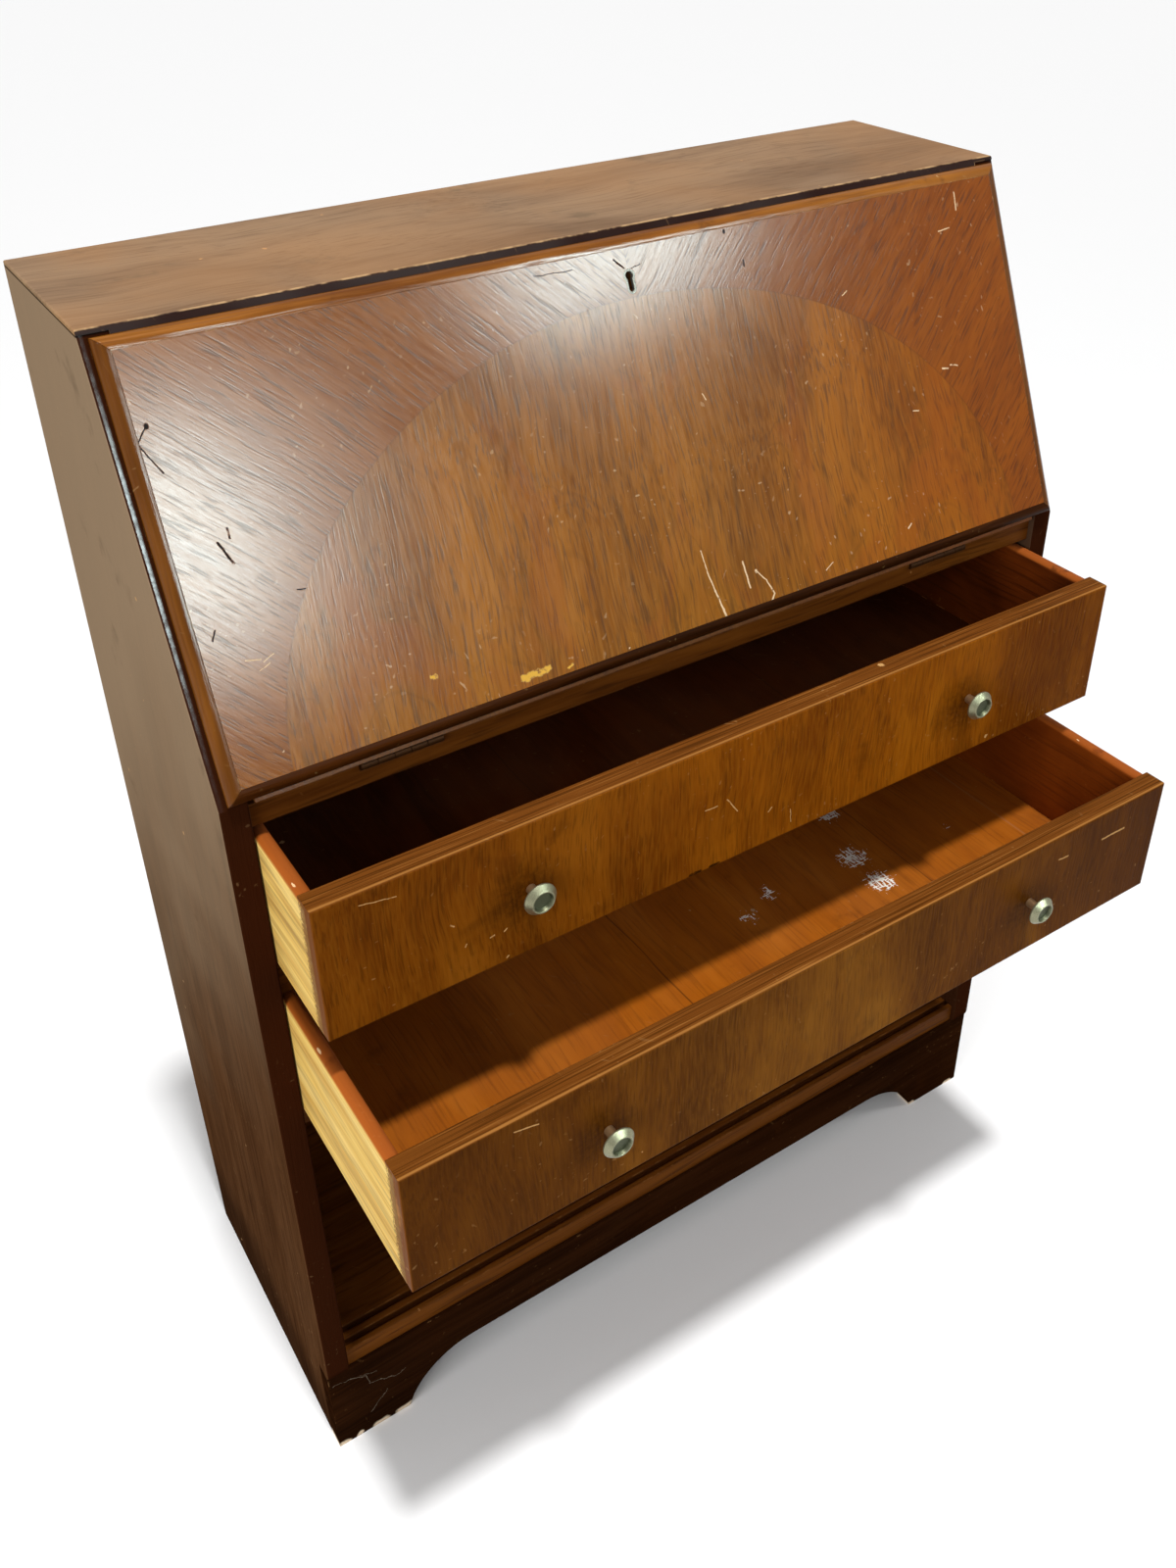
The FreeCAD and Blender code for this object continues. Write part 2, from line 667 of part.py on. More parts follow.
ceiling = block("ceiling_blank", both(housed), (-rail_face, -d.back_thick), (cupboard_ceiling, lower_floor))
grooves = door_grooves(cupboard_ceiling - beyond, cupboard_ceiling + d.groove_depth)
finish(carved("ceiling_cut", ceiling, grooves), "cupboard_ceiling", case_frame)
floor = block("bottom_blank", both(housed), (-rail_face, -d.back_thick), (d.plinth_height, bottom_top))
grooves = door_grooves(bottom_top - d.groove_depth, bottom_top + beyond)
finish(carved("bottom_cut", floor, grooves), "bottom_board", case_frame)

stops = []
for level in (upper_floor, lower_floor):
    for hand, word in hands:
        across = span(hand, d.stop_station - d.stop_width / 2, d.stop_station + d.stop_width / 2)
        near = d.front_thick + d.stop_play - rail_face
        along = (near, near + d.stop_depth)
        stops.append(block("drawer_stop", across, along, (level, level + d.stop_height)))
finish(group("stop_set", stops), "drawer_stops", case_frame)

# The plinth board with its two bracket feet.
plinth = new_body("plinth_front")
arch_round = arc_radius(d.arch_curve, d.arch_height)
foot = outer - d.foot_width
shape = sketch_on(plinth, "XZ_Plane", plinth_back)
draw(shape, [
    (-outer, 0),
    (-foot, 0, arch_round, True),
    (d.arch_curve - foot, d.arch_height),
    (foot - d.arch_curve, d.arch_height, arch_round, True),
    (foot, 0),
    (outer, 0),
    (outer, d.plinth_height),
    (-outer, d.plinth_height),
])
pad(plinth, shape, d.plinth_thick)
finish(plinth, "plinth_front", case_frame)
corner_blocks = []
for hand, word in hands:
    across = span(hand, inner - d.glue_block, inner)
    along = (-plinth_back, d.glue_block - plinth_back)
    corner_blocks.append(block("plinth_block", across, along, (d.arch_height, d.plinth_height)))
finish(group("plinth_block_set", corner_blocks), "plinth_blocks", case_frame)

# Pigeonholes at the back of the writing compartment.
hole_half = kept("hole_half", inner - d.pigeonhole_end_room)
hole_along = (-d.back_thick - d.pigeonhole_depth, -d.back_thick)
shelf_top = kept("shelf_top", bed_top + d.pigeonhole_height)
shelf_floor = kept("shelf_floor", shelf_top - d.pigeonhole_board)
board("pigeonhole_shelf", both(hole_half), hole_along, (shelf_floor, shelf_top), case_frame)
for hand, word in hands:
    across = span(hand, hole_half - d.pigeonhole_board, hole_half)
    board(f"pigeonhole_end_{word}", across, hole_along, (bed_top, shelf_floor), case_frame)
for number in range(1, divider_count + 1):
    middle = hole_half * (2 * number / (divider_count + 1) - 1)
    across = (middle - d.pigeonhole_board / 2, middle + d.pigeonhole_board / 2)
    board(f"pigeonhole_divider_{number}", across, hole_along, (bed_top, shelf_floor), case_frame)

# The hinges. Bed leaves keep the odd knuckles and the pins, fall leaves the even ones.
knuckle_pitch = d.hinge_length / knuckle_count
leaf_root = d.knuckle_radius + d.knuckle_gap
screw_offsets = (-d.leaf_screw_station, as_size(0), d.leaf_screw_station)
bed_pin = (-pin_depth, pin_height)
fall_pin = (pin_in, pin_up)


def knuckles(station, own, pin, web):
    # Knuckles round the pin, each with the web that ties it to its leaf.
    pieces = []
    for number in own:
        low = station - d.hinge_length / 2 + knuckle_pitch * number + d.knuckle_gap / 2
        length = knuckle_pitch - d.knuckle_gap
        pieces.append(rod("knuckle", "x", d.knuckle_radius, (low, *pin), length))
        pieces.append(block("web", (low, low + length), *web))
    return pieces


def pin_hole(station, pin):
    start = (station - d.hinge_length / 2 - beyond, *pin)
    return rod("pin_hole", "x", d.pin_radius + d.pin_clearance, start, d.hinge_length + 2 * beyond)


rail_cuts = []
fall_cuts = []
bed_screws = []
fall_screws = []
hinge_pins = []
for hand, word in hands:
    station = hand * d.hinge_station
    across = (station - d.hinge_length / 2, station + d.hinge_length / 2)
    roomy = (across[0] - d.recess_clearance, across[1] + d.recess_clearance)
    leaf_rise = (bed_top - d.leaf_thick, bed_top)
    leaf = block("bed_leaf", across, (leaf_root - pin_depth, d.leaf_reach - pin_depth), leaf_rise)
    web = ((-pin_depth, leaf_root - pin_depth), leaf_rise)
    spots = [(station + offset, d.leaf_screw_reach - pin_depth, bed_top) for offset in screw_offsets]
    blank = joined("bed_leaf_blank", [leaf] + knuckles(station, range(0, knuckle_count, 2), bed_pin, web))
    sinks = [screw("bed_sink", spot, 0, d.pin_clearance) for spot in spots]
    leaf = carved("bed_leaf_cut", blank, [pin_hole(station, bed_pin)] + sinks)
    finish(leaf, f"hinge_bed_leaf_{word}", case_frame)
    bed_screws += [screw("bed_screw", spot, 0) for spot in spots]
    ahead = -rail_face - beyond
    above = bed_top + beyond
    reach = d.leaf_reach + d.recess_clearance - pin_depth
    rail_cuts.append(block("leaf_recess", roomy, (ahead, reach), (leaf_rise[0], above)))
    below = pin_height - d.knuckle_radius - d.recess_clearance
    rail_cuts.append(block("knuckle_notch", roomy, (ahead, leaf_root - pin_depth), (below, above)))
    hinge_pins.append(rod("hinge_pin", "x", d.pin_radius, (across[0], *bed_pin), d.hinge_length))

    leaf_deep = (d.fall_inner - d.leaf_thick, d.fall_inner)
    leaf = block("fall_leaf", across, leaf_deep, (pin_up + leaf_root, pin_up + d.leaf_reach))
    web = (leaf_deep, (pin_up, pin_up + leaf_root))
    spots = [(station + offset, d.fall_inner, pin_up + d.leaf_screw_reach) for offset in screw_offsets]
    blank = joined("fall_leaf_blank", [leaf] + knuckles(station, range(1, knuckle_count, 2), fall_pin, web))
    sinks = [screw("fall_sink", spot, -90, d.pin_clearance) for spot in spots]
    leaf = carved("fall_leaf_cut", blank, [pin_hole(station, fall_pin)] + sinks)
    finish(leaf, f"hinge_fall_leaf_{word}", fall_frame)
    fall_screws += [screw("fall_screw", spot, -90) for spot in spots]
    reach = pin_up + d.leaf_reach + d.recess_clearance
    fall_cuts.append(block("fall_recess", roomy, (leaf_deep[0], d.fall_inner + beyond), (pin_up, reach)))

finish(group("bed_screw_set", bed_screws), "hinge_bed_screws", case_frame)
finish(group("fall_screw_set", fall_screws), "hinge_fall_screws", fall_frame)
finish(group("hinge_pin_set", hinge_pins), "hinge_pins", case_frame)
rail_blank = block("bed_rail_blank", both(housed), (-rail_face, -rail_back), (bed_floor, bed_top))
finish(carved("bed_rail_cut", rail_blank, rail_cuts), "bed_rail", case_frame)

# Studs in the sides, pivots in the ends of the fall, and the slotted arms between them.
slot_start = 2 * d.stay_radius * sine(d.stay_lead / 2)
slot_end = kept("slot_end", 2 * d.stay_radius * sine((d.stay_lead + swing) / 2))
stay_tip = lean + d.stay_lead / 2
stay_frame = Frame(*fall_frame.point(0, pin_in, pivot_up), sine(stay_tip), cosine(stay_tip), stay_tip)
arm_out = kept("arm_out", inner - d.stay_play)
arm_in = kept("arm_in", arm_out - d.stay_thick)
studs = []
pivots = []
for hand, word in hands:
    neck = span(hand, arm_in - d.stud_play, inner + d.stud_depth)
    head = span(hand, arm_in - d.stud_play - d.stud_head_thick, arm_in - d.stud_play)
    shank = rod("stud_neck", "x", d.stud_radius, (neck[0], stud_y, stud_z), neck[1] - neck[0])
    button = rod("stud_head", "x", d.stud_head_radius, (head[0], stud_y, stud_z), d.stud_head_thick)
    studs.append(joined("stud", [shank, button]))
    reach = span(hand, fall_end - d.stud_depth, arm_out + d.stud_play)
    pivots.append(rod("pivot", "x", d.stud_radius, (reach[0], pin_in, pivot_up), reach[1] - reach[0]))
    bore = d.stud_radius + d.pin_clearance
    fall_cuts.append(rod("pivot_bore", "x", bore, (reach[0], pin_in, pivot_up), reach[1] - reach[0]))

    arm = new_body(f"stay_arm_{word}")
    flat = arm_in if hand > 0 else -arm_out
    half = d.stay_width / 2
    strip = sketch_on(arm, "YZ_Plane", flat)
    draw(strip, rectangle(0, slot_end + half, -half, half))
    pad(arm, strip, d.stay_thick)
    for middle in (as_size(0), slot_end + half):
        rounded = sketch_on(arm, "YZ_Plane", flat)
        circle(rounded, middle, 0, half)
        pad(arm, rounded, d.stay_thick)
    half = d.stud_radius + d.slot_clearance
    strip = sketch_on(arm, "YZ_Plane", flat)
    draw(strip, rectangle(slot_start, slot_end, -half, half))
    pocket(arm, strip, d.stay_thick, reverse=True)
    for middle, radius in ((slot_start, half), (slot_end, half), (as_size(0), bore)):
        rounded = sketch_on(arm, "YZ_Plane", flat)
        circle(rounded, middle, 0, radius)
        pocket(arm, rounded, d.stay_thick, reverse=True)
    finish(arm, f"stay_arm_{word}", stay_frame)
finish(group("stud_set", studs), "stay_studs", case_frame)
finish(group("pivot_set", pivots), "stay_pivots", fall_frame)


# The lock of the fall: keyhole, its metal thread, the case and the bolt.
def keyhole(name, grow, front, length):
    foot = keyhole_up - d.keyhole_drop
    pieces = [
        rod(f"{name}_round", "y", d.keyhole_radius + grow, (0, front, keyhole_up), length),
        rod(f"{name}_foot", "y", d.keyhole_slot + grow, (0, front, foot), length),
        block(f"{name}_slot", both(d.keyhole_slot + grow), (front, front + length), (foot, keyhole_up)),
    ]
    return joined(name, pieces)


lock_floor = kept("lock_floor", d.fall_inner - d.lock_thick)
thread = keyhole("thread", d.escutcheon_wall, -d.fall_lip, d.escutcheon_depth)
thread_hole = keyhole("thread_hole", 0, -d.fall_lip - beyond, d.escutcheon_depth + 2 * beyond)
finish(carved("thread_cut", thread, [thread_hole]), "keyhole_escutcheon", fall_frame)
seat_wall = d.escutcheon_wall + d.pin_clearance
fall_cuts.append(keyhole("thread_seat", seat_wall, -d.fall_lip - beyond, d.escutcheon_depth + beyond))
fall_cuts.append(keyhole("keyhole", 0, -d.fall_lip, d.fall_lip + lock_floor + beyond))
lock_x = both(d.lock_width / 2)
lock_z = (fall_top - d.lock_height, fall_top)
lock_seat = both(d.lock_width / 2 + d.recess_clearance)
lock_seat_z = (lock_z[0] - d.recess_clearance, fall_top + beyond)
fall_cuts.append(block("lock_seat", lock_seat, (lock_floor, d.fall_inner + beyond), lock_seat_z))
case_blank = block("lock_blank", lock_x, (lock_floor, d.fall_inner), lock_z)
channel_y = (lock_floor + d.lock_wall, d.fall_inner - d.lock_wall)
channel_z = (fall_top - d.bolt_length - d.bolt_clearance, fall_top + beyond)
channel = block("bolt_channel", both(mortise_half), channel_y, channel_z)
lock_spots = []
for hand, word in hands:
    for rise in (lock_z[0] + d.lock_screw_inset, fall_top - d.lock_screw_inset):
        lock_spots.append((hand * (d.lock_width / 2 - d.lock_screw_inset), d.fall_inner, rise))
sinks = [screw("lock_sink", spot, -90, d.pin_clearance, d.lock_screw_length) for spot in lock_spots]
tools = [channel, keyhole("lock_keyhole", 0, lock_floor - beyond, d.lock_wall + 2 * beyond)] + sinks
finish(carved("lock_cut", case_blank, tools), "lock_case", fall_frame)
lock_set = [screw("lock_screw", spot, -90, 0, d.lock_screw_length) for spot in lock_spots]
finish(group("lock_screw_set", lock_set), "lock_screws", fall_frame)

bolt = new_body("lock_bolt")
shape = sketch_on(bolt, "XZ_Plane", -bolt_out)
draw(shape, rectangle(*both(d.bolt_width / 2), fall_top - d.bolt_length, fall_top))
pad(bolt, shape, bolt_out - bolt_in)
finish(bolt, "lock_bolt", fall_frame)

# The fall: a veneered panel with a thinner field in front, edged with four mitred lippings.
field_x = fall_edge - d.lipping_width
field_z = (d.fall_foot_gap + d.lipping_width, fall_head - d.lipping_width)
lip_deep = (-d.fall_lip, -d.fall_seat_gap)
field = block("fall_field", both(field_x), lip_deep, field_z)
core_deep = (-d.fall_seat_gap, d.fall_inner)
core = block("fall_core", both(fall_end), core_deep, (d.fall_foot_gap - d.fall_drop, fall_top))
finish(carved("fall_cut", joined("fall_blank", [field, core]), fall_cuts), "fall_panel", fall_frame)

outside = rectangle(-fall_edge, fall_edge, d.fall_foot_gap, fall_head)
inside = rectangle(-field_x, field_x, *field_z)
for number, word in enumerate(("bottom", "right", "top", "left")):
    after = (number + 1) % 4
    lipping = new_body(f"fall_lipping_{word}")
    shape = sketch_on(lipping, "XZ_Plane", d.fall_seat_gap)
    draw(shape, [outside[number], outside[after], inside[after], inside[number]])
    pad(lipping, shape, d.fall_lip - d.fall_seat_gap)
    face = -d.fall_lip.number
    ends = [FreeCAD.Vector(x.number, face, z.number) for x, z in (outside[number], outside[after])]

    def front_edge(edge):
        return all(any(close((v.Point - end).Length, 0) for end in ends) for v in edge.Vertexes)

    round_edges(lipping, d.lipping_round, front_edge)
    finish(lipping, f"fall_lipping_{word}", fall_frame)


# The drawers, drawn out by the pull each has in the photograph.
def drawer(word, level, opening, headroom, pull):
    frame = Frame(0, back_plane - rail_face - pull, level + d.drawer_lift)
    half = kept(f"{word}_half", inner - d.drawer_play)
    height = kept(f"{word}_height", opening - d.drawer_lift - headroom)
    length = kept(f"{word}_length", rail_face - d.back_thick - d.drawer_back_room)
    clear = half - d.drawer_side_thick
    side_head = height - d.drawer_side_drop
    bottom_z = (d.drawer_bottom_lift, d.drawer_bottom_lift + d.drawer_bottom_thick)

    front = new_body(f"{word}_drawer_front")
    shape = sketch_on(front, "XZ_Plane", -d.front_thick)
    draw(shape, rectangle(-half, half, 0, height))
    pad(front, shape, d.front_thick)
    laps = sketch_on(front, "XZ_Plane", -d.front_lap)
    draw(laps, rectangle(-half, -clear, 0, side_head))
    draw(laps, rectangle(clear, half, 0, side_head))
    pocket(front, laps, d.front_thick - d.front_lap)
    groove = sketch_on(front, "XZ_Plane", d.drawer_groove - d.front_thick)
    draw(groove, rectangle(-clear, clear, *bottom_z))
    pocket(front, groove, d.drawer_groove)
    holes = sketch_on(front, "XZ_Plane")
    for hand, _ in hands:
        circle(holes, hand * d.knob_station, height / 2, d.knob_screw_radius + d.knob_screw_clearance)
    pocket(front, holes, d.front_thick)

    def face_arris(edge):
        return len(edge.Vertexes) == 2 and all(close(vertex.Y, 0) for vertex in edge.Vertexes)

    round_edges(front, d.edge_round, face_arris)
    finish(front, f"{word}_drawer_front", frame)

    for hand, name in hands:
        wall = new_body(f"{word}_drawer_{name}")
        shape = sketch_on(wall, "YZ_Plane", -half if hand < 0 else clear)
        draw(shape, rectangle(d.front_lap, length, d.runner_play - d.drawer_lift, side_head))
        pad(wall, shape, d.drawer_side_thick)
        groove = sketch_on(wall, "YZ_Plane", -clear if hand < 0 else clear + d.drawer_groove)
        draw(groove, rectangle(d.front_lap, length, *bottom_z))
        pocket(wall, groove, d.drawer_groove)

        def top_arris(edge):
            ends = [vertex.Point for vertex in edge.Vertexes]
            return all(close(end.z, side_head.number) for end in ends) and close(ends[0].x, ends[1].x)

        round_edges(wall, d.drawer_side_round, top_arris)
        finish(wall, f"{word}_drawer_{name}", frame)

    board(f"{word}_drawer_back", both(clear), (length - d.drawer_back_thick, length),
          (bottom_z[1], height - d.drawer_back_drop), frame)
    board(f"{word}_drawer_bottom", both(clear + d.drawer_groove), (d.front_thick - d.drawer_groove, length),
          bottom_z, frame)

    screws = []
    for hand, name in hands:
        spot = hand * d.knob_station
        tip = d.knob_screw_clearance - d.knob_screw_reach
        seat = (spot, d.front_thick, height / 2)
        shank = rod("knob_shank", "y", d.knob_screw_radius, (spot, tip, height / 2), d.front_thick - tip)
        head = rod("knob_head", "y", d.knob_screw_head, seat, d.knob_screw_head_thick)
        screws.append(joined("knob_screw", [shank, head]))
        knob(f"{word}_knob_{name}", frame, (spot, 0, height / 2))
    finish(group(f"{word}_screw_set", screws), f"{word}_knob_screws", frame)


def knob(label, frame, spot):
    body = new_body(label)
    bore = d.knob_screw_radius + d.knob_screw_clearance
    dish_floor = d.dish_depth - d.knob_projection
    profile = sketch_on(body, "XY_Plane")
    draw(profile, [
        (bore, 0),
        (d.shank_radius, 0),
        (d.shank_radius, -d.shank_length),
        (d.rim_radius, -d.shank_length),
        (d.rim_radius, -d.shank_length - d.rim_thick),
        (d.ring_radius, -d.knob_projection),
        (d.dish_radius, -d.knob_projection),
        (d.dish_floor_radius, dish_floor),
        (0, dish_floor),
        (0, -d.knob_screw_reach),
        (bore, -d.knob_screw_reach),
    ])
    turned = body.newObject("PartDesign::Revolution", f"{label}_turned")
    turned.Profile = profile
    turned.ReferenceAxis = (profile, ["V_Axis"])
    turned.Angle = 360
    doc.recompute()
    rims = (d.rim_radius.number, d.ring_radius.number, d.dish_radius.number)

    def rim(edge):
        return hasattr(edge.Curve, "Radius") and any(close(edge.Curve.Radius, radius) for radius in rims)

    round_edges(body, d.knob_round, rim)
    finish(body, label, frame, spot)


drawer("upper", upper_floor, d.upper_opening, d.upper_headroom, d.upper_pull)
drawer("lower", lower_floor, d.lower_opening, d.lower_headroom, d.lower_pull)

doc.recompute()
for item in doc.Objects:
    if "Invalid" in item.State or "Error" in item.State:
        raise RuntimeError(f"{item.Label} did not rebuild: {item.State}")
os.makedirs("parts", exist_ok=True)
for node in nodes:
    if node.Shape.isNull() or not node.Shape.isValid():
        raise RuntimeError(f"{node.Label} has no sound shape")
    node.Shape.exportStep(f"parts/{node.Label}.step")
print(len(nodes), "pieces written")
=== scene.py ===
import bpy
import math
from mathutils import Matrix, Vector


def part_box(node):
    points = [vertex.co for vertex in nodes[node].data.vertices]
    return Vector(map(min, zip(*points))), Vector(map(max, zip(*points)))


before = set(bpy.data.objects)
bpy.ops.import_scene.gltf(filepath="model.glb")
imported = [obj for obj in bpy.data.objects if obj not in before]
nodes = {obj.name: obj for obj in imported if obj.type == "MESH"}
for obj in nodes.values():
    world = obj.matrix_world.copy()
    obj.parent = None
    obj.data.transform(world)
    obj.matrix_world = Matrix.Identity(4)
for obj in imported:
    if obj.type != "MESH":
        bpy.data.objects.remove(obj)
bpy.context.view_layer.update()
scene = bpy.context.scene
print("frame:", len(nodes), "nodes")

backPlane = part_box("back_panel")[1].y
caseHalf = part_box("right_side")[1].x
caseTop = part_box("top_board")[1].z
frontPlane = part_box("left_side")[0].y

# the sloped front: where it starts, and how far it runs back and rises
slope = {"foot": 0.725, "run": 0.121, "rise": 0.283}
lean = math.atan2(slope["run"], slope["rise"])


def tone(red, green, blue):
    def linear(c):
        c /= 255
        return c / 12.92 if c <= 0.04045 else ((c + 0.055) / 1.055) ** 2.4
    return (linear(red), linear(green), linear(blue), 1)


def feed(tree, socket, value):
    if isinstance(value, bpy.types.NodeSocket):
        tree.links.new(value, socket)
    elif value is not None:
        socket.default_value = value


def put(tree, kind, inputs=None, **settings):
    node = tree.nodes.new("ShaderNode" + kind)
    for key, value in settings.items():
        setattr(node, key, value)
    for key, value in (inputs or {}).items():
        feed(tree, node.inputs[key], value)
    return node


def calc(tree, operation, *values):
    node = put(tree, "Math", operation=operation)
    for socket, value in zip(node.inputs, values):
        feed(tree, socket, value)
    return node.outputs[0]


def vecCalc(tree, operation, *values):
    node = put(tree, "VectorMath", operation=operation)
    for socket, value in zip(node.inputs, values):
        feed(tree, socket, value)
    number = operation in ("DOT_PRODUCT", "LENGTH", "DISTANCE")
    return node.outputs["Value" if number else "Vector"]


def ease(tree, value, low, high):
    ends = {"Value": value, "From Min": low, "From Max": high}
    return put(tree, "MapRange", ends, interpolation_type="SMOOTHSTEP").outputs["Result"]


def spread(tree, value, low, high):
    ends = {"Value": value, "To Min": low, "To Max": high}
    return put(tree, "MapRange", ends).outputs["Result"]


def blend(tree, factor, first, second, kind="MIX"):
    node = put(tree, "Mix", data_type="RGBA", blend_type=kind)
    for spot, value in ((0, factor), (6, first), (7, second)):
        feed(tree, node.inputs[spot], value)
    return node.outputs[2]


def weigh(tree, factor, first, second):
    node = put(tree, "Mix", data_type="FLOAT")
    for spot, value in ((0, factor), (2, first), (3, second)):
        feed(tree, node.inputs[spot], value)
    return node.outputs[0]


def ramp(tree, value, stops):
    node = put(tree, "ValToRGB", {"Fac": value})
    elements = node.color_ramp.elements
    for end, (spot, colour) in ((0, stops[0]), (1, stops[-1])):
        elements[end].position = spot
        elements[end].color = colour
    for spot, colour in stops[1:-1]:
        elements.new(spot).color = colour
    return node.outputs["Color"]


def noise(tree, place, scale, detail=3, rough=0.5, warp=0):
    inputs = {"Vector": place, "Scale": scale, "Detail": detail, "Roughness": rough, "Distortion": warp}
    return put(tree, "TexNoise", inputs).outputs


def newGroup(name, takes, gives):
    tree = bpy.data.node_groups.new(name, "ShaderNodeTree")
    for label, value in takes.items():
        kind = "NodeSocketVector" if isinstance(value, tuple) else "NodeSocketFloat"
        tree.interface.new_socket(label, in_out="INPUT", socket_type=kind).default_value = value
    for label in gives:
        kind = "NodeSocketVector" if label == "Normal" else "NodeSocketFloat"
        tree.interface.new_socket(label, in_out="OUTPUT", socket_type=kind)
    given = tree.nodes.new("NodeGroupInput").outputs
    made = tree.nodes.new("NodeGroupOutput").inputs
    return tree, given, made


# wood with its grain along the vector's Z, sizes in lines per metre
def makeGrain():
    takes = {"Vector": (0, 0, 0), "Streaks": 30, "Stretch": 10, "Fine": 420, "Length": 30,
             "Sway": 0.02, "Seed": 0}
    tree, given, made = newGroup("woodGrain", takes, ("Figure", "Veins", "Fibre", "Pores", "Height"))
    moved = vecCalc(tree, "MULTIPLY_ADD", (1.7, 2.3, 0.9), given["Seed"], given["Vector"])
    bend = vecCalc(tree, "SUBTRACT", noise(tree, moved, 4.5, 2)["Color"], (0.5, 0.5, 0.5))
    bend = vecCalc(tree, "MULTIPLY", bend, given["Sway"])
    bent = vecCalc(tree, "MULTIPLY_ADD", bend, (1, 1, 0.3), moved)

    def stretched(across, along):
        scale = put(tree, "CombineXYZ", {"X": across, "Y": across, "Z": along}).outputs[0]
        return vecCalc(tree, "MULTIPLY", bent, scale)

    slow = calc(tree, "DIVIDE", given["Streaks"], given["Stretch"])
    figure = noise(tree, stretched(given["Streaks"], slow), 1, 3, 0.55, 0.5)["Fac"]
    feed(tree, made["Figure"], ease(tree, figure, 0.3, 0.7))
    veinAcross = calc(tree, "MULTIPLY", given["Streaks"], 2.3)
    vein = noise(tree, stretched(veinAcross, slow), 1, 2, 0.5, 0.3)["Fac"]
    ridge = calc(tree, "ABSOLUTE", calc(tree, "SUBTRACT", vein, 0.5))
    feed(tree, made["Veins"], ease(tree, ridge, 0.05, 0))
    fineAlong = calc(tree, "DIVIDE", given["Fine"], given["Length"])
    fibre = noise(tree, stretched(given["Fine"], fineAlong), 1, 2, 0.6)["Fac"]
    fibre = ease(tree, fibre, 0.28, 0.72)
    feed(tree, made["Fibre"], fibre)
    poreAcross = calc(tree, "MULTIPLY", given["Fine"], 1.3)
    poreAlong = calc(tree, "DIVIDE", poreAcross, given["Length"])
    pores = ease(tree, noise(tree, stretched(poreAcross, poreAlong), 1, 1)["Fac"], 0.52, 0.7)
    feed(tree, made["Pores"], pores)
    feed(tree, made["Height"], calc(tree, "MULTIPLY_ADD", pores, -0.8, fibre))


# rubbed arrises: where the rounded normal leaves the true one, broken up by noise
def makeEdgeWear():
    takes = {"Vector": (0, 0, 0), "Radius": 0.003, "Wear": 0.5, "Scale": 60}
    tree, given, made = newGroup("edgeWear", takes, ("Edge", "Wear", "Normal"))
    rounded = put(tree, "Bevel", {"Radius": given["Radius"]}, samples=4).outputs["Normal"]
    true = put(tree, "NewGeometry").outputs["Normal"]
    turn = calc(tree, "SUBTRACT", 1, vecCalc(tree, "DOT_PRODUCT", rounded, true))
    edge = ease(tree, turn, 0.01, 0.2)
    patch = noise(tree, given["Vector"], given["Scale"], 4, 0.65)["Fac"]
    floor = calc(tree, "MULTIPLY_ADD", given["Wear"], -0.4, 0.8)
    patch = ease(tree, patch, floor, calc(tree, "ADD", floor, 0.08))
    feed(tree, made["Edge"], edge)
    feed(tree, made["Wear"], calc(tree, "MULTIPLY", edge, patch))
    feed(tree, made["Normal"], rounded)


# small chips: one in some of the cells of a grid, each of its own size
def makeNicks():
    takes = {"Vector": (0, 0, 0), "Cells": 40, "Share": 0.2, "Size": 0.15}
    tree, given, made = newGroup("nicks", takes, ("Mask",))
    ragged = noise(tree, given["Vector"], 300, 2)["Color"]
    place = vecCalc(tree, "MULTIPLY_ADD", ragged, (0.004, 0.004, 0.004), given["Vector"])
    cell = put(tree, "TexVoronoi", {"Vector": place, "Scale": given["Cells"]})
    chance = put(tree, "SeparateColor", {"Color": cell.outputs["Color"]}).outputs
    picked = calc(tree, "LESS_THAN", chance[0], given["Share"])
    size = calc(tree, "MULTIPLY", given["Size"], spread(tree, chance[1], 0.3, 1))
    dot = ease(tree, cell.outputs["Distance"], size, calc(tree, "MULTIPLY", size, 0.7))
    feed(tree, made["Mask"], calc(tree, "MULTIPLY", dot, picked))


# fine random scratches in three directions
def makeScratches():
    takes = {"Vector": (0, 0, 0), "Fine": 260, "Amount": 0.5}
    tree, given, made = newGroup("scratches", takes, ("Mask",))
    total = None
    for turn, shift in ((0.5, 0.0), (-0.8, 4.0), (1.35, 9.0)):
        place = vecCalc(tree, "ADD", given["Vector"], (shift, shift, shift))
        angles = {"Vector": place, "Rotation": (turn, turn * 0.6, turn)}
        turned = put(tree, "VectorRotate", angles, rotation_type="EULER_XYZ").outputs[0]
        thin = put(tree, "CombineXYZ", {"X": given["Fine"], "Y": given["Fine"], "Z": 9}).outputs[0]
        line = noise(tree, vecCalc(tree, "MULTIPLY", turned, thin), 1, 1)["Fac"]
        line = ease(tree, line, 0.7, 0.78)
        where = ease(tree, noise(tree, place, 14, 2)["Fac"], 0.5, 0.68)
        line = calc(tree, "MULTIPLY", line, where)
        total = line if total is None else calc(tree, "MAXIMUM", total, line)
    feed(tree, made["Mask"], calc(tree, "MULTIPLY", total, given["Amount"]))


